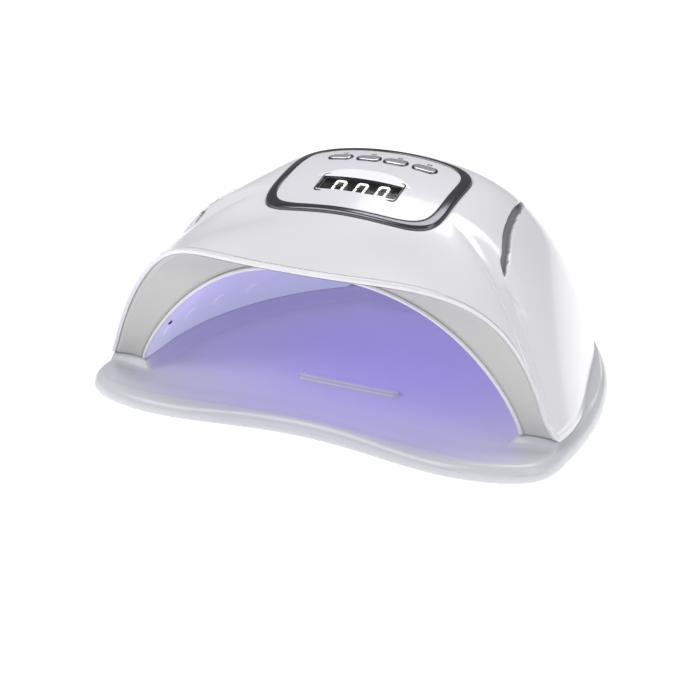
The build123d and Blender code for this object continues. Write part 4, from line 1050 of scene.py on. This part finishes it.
PATCH_HALF_WIDTH = WINDOW_SIZE[0] / 2 + 3.5
PATCH_REAR_Y = WINDOW_Y + 4.5
PATCH_FRONT_Y = WINDOW_Y + 4.0
PATCH_BULGE, PATCH_POWER = 7.5, 3.2
PATCH_LIFT, PATCH_TUCK = 0.12, -0.2
arch_steps = np.linspace(-1, 1, 61)
arch_rear = [
    (s * PATCH_HALF_WIDTH, PATCH_REAR_Y + PATCH_BULGE * (1 - abs(s) ** PATCH_POWER)) for s in arch_steps
]
arch_front = [(s * PATCH_HALF_WIDTH, PATCH_FRONT_Y) for s in arch_steps]
arch_rows = []
for share in np.linspace(0, 1, 9):
    line = np.array(arch_rear) * (1 - share) + np.array(arch_front) * share
    arch_rows.append(on_face(line, PATCH_LIFT))
arch_rows = [on_face(arch_rear, PATCH_TUCK)] + arch_rows
make_piece("display_arch", [(np.stack(arch_rows), False)], display_white, "housing", slot="panel_pearl")

FRAME_LINE = [(0.9, -0.3), (0.85, 0.1), (0.6, 0.24), (0.3, 0.2), (0.0, 0.02), (-0.05, -1.2)]


def rounded_box(width, depth, corner, count=10):
    """Closed line round a box with rounded corners, as (x, y) about its middle."""
    line = []
    for quarter, (sx, sy) in enumerate(((1, 1), (-1, 1), (-1, -1), (1, -1))):
        for a in np.linspace(0, pi / 2, count) + quarter * pi / 2:
            x, y = sx * (width / 2 - corner), sy * (depth / 2 - corner)
            line.append((x + corner * cos(a), y + corner * sin(a)))
    return np.array(line)


frame_rows = []
for grow, lift in FRAME_LINE:
    line = rounded_box(WINDOW_SIZE[0] + 2 * grow, WINDOW_SIZE[1] + 2 * grow, WINDOW_CORNER + grow)
    frame_rows.append(on_face(line + np.array((0.0, WINDOW_Y)), lift))
make_piece("window_frame", [(np.stack(frame_rows), True)], black, "housing", slot="display_black")

window_fall = 2 * CROWN_BEND_Y * (WINDOW_Y - CROWN_Y)
window_normal = np.array((0.0, window_fall, 1.0)) / hypot(window_fall, 1.0)
window_up = np.array((0.0, 1.0, -window_fall)) / hypot(window_fall, 1.0)
window_spot = np.array((0.0, WINDOW_Y, crown_z(0, WINDOW_Y)))


DIGIT_BAR_LINE = [(0.0, -0.3), (0.0, 0.05), (0.1, 0.12), (0.45, 0.14)]


def bar_mesh(x, y, length, upright, depth):
    """Bar of a digit with pointed ends and a bevelled face, under the window."""
    rings = []
    for shrink, lift in DIGIT_BAR_LINE:
        half, wide_half = length / 2 + STROKE / 2 - shrink, STROKE / 2 - shrink
        inner_half = half - wide_half
        loop = [
            (half, 0),
            (inner_half, wide_half),
            (-inner_half, wide_half),
            (-half, 0),
            (-inner_half, -wide_half),
            (inner_half, -wide_half),
        ]
        if upright:
            loop = [(-v, u) for u, v in loop]
        rings.append(
            [
                window_spot
                + np.array((x + u, 0.0, 0.0))
                + window_up * (y + v)
                + window_normal * (lift - depth)
                for u, v in loop
            ]
        )
    return np.array(rings), True


lit, unlit = [], []
bar_half_w = DIGIT_SIZE[0] / 2 - STROKE / 2
bar_half_h = DIGIT_SIZE[1] / 2 - STROKE / 2
for i in (-1, 0, 1):
    centre_x = i * DIGIT_PITCH
    for y in (bar_half_h, 0.0, -bar_half_h):
        target = unlit if y == 0.0 else lit
        target.append(bar_mesh(centre_x, y, bar_half_w * 2 - STROKE, False, DIGIT_DEPTH))
    for x in (centre_x - bar_half_w, centre_x + bar_half_w):
        for y in (bar_half_h / 2, -bar_half_h / 2):
            lit.append(bar_mesh(x, y, bar_half_h - STROKE, True, DIGIT_DEPTH))
make_piece("lit_bars", lit, lit_bar, "housing", "digit_segments", slot="digits_lit")
make_piece("unlit_bars", unlit, olive, "housing", slot="digits_lit")

for number, (x, label) in enumerate(zip(BUTTON_XS, ("10", "30", "60", "99")), 1):
    words = bpy.data.curves.new(f"seconds_{number}", "FONT")
    words.body = label
    words.size = LABEL_SIZE * MM
    words.align_x = "CENTER"
    words.align_y = "CENTER"
    words.extrude = LABEL_THICK * MM
    words.materials.append(ink)
    text = bpy.data.objects.new(f"seconds_{number}", words)
    scene.collection.objects.link(text)
    y = BUTTON_Y + LABEL_SHIFT
    fall = 2 * CROWN_BEND_Y * (y - CROWN_Y)
    text.location = (x * MM, y * MM, (crown_z(x, y) + LABEL_LIFT) * MM)
    text.rotation_euler = (-atan2(fall, 1.0), atan2(2 * CROWN_BEND_X * x, 1.0), 0.0)
    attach(text, "housing")
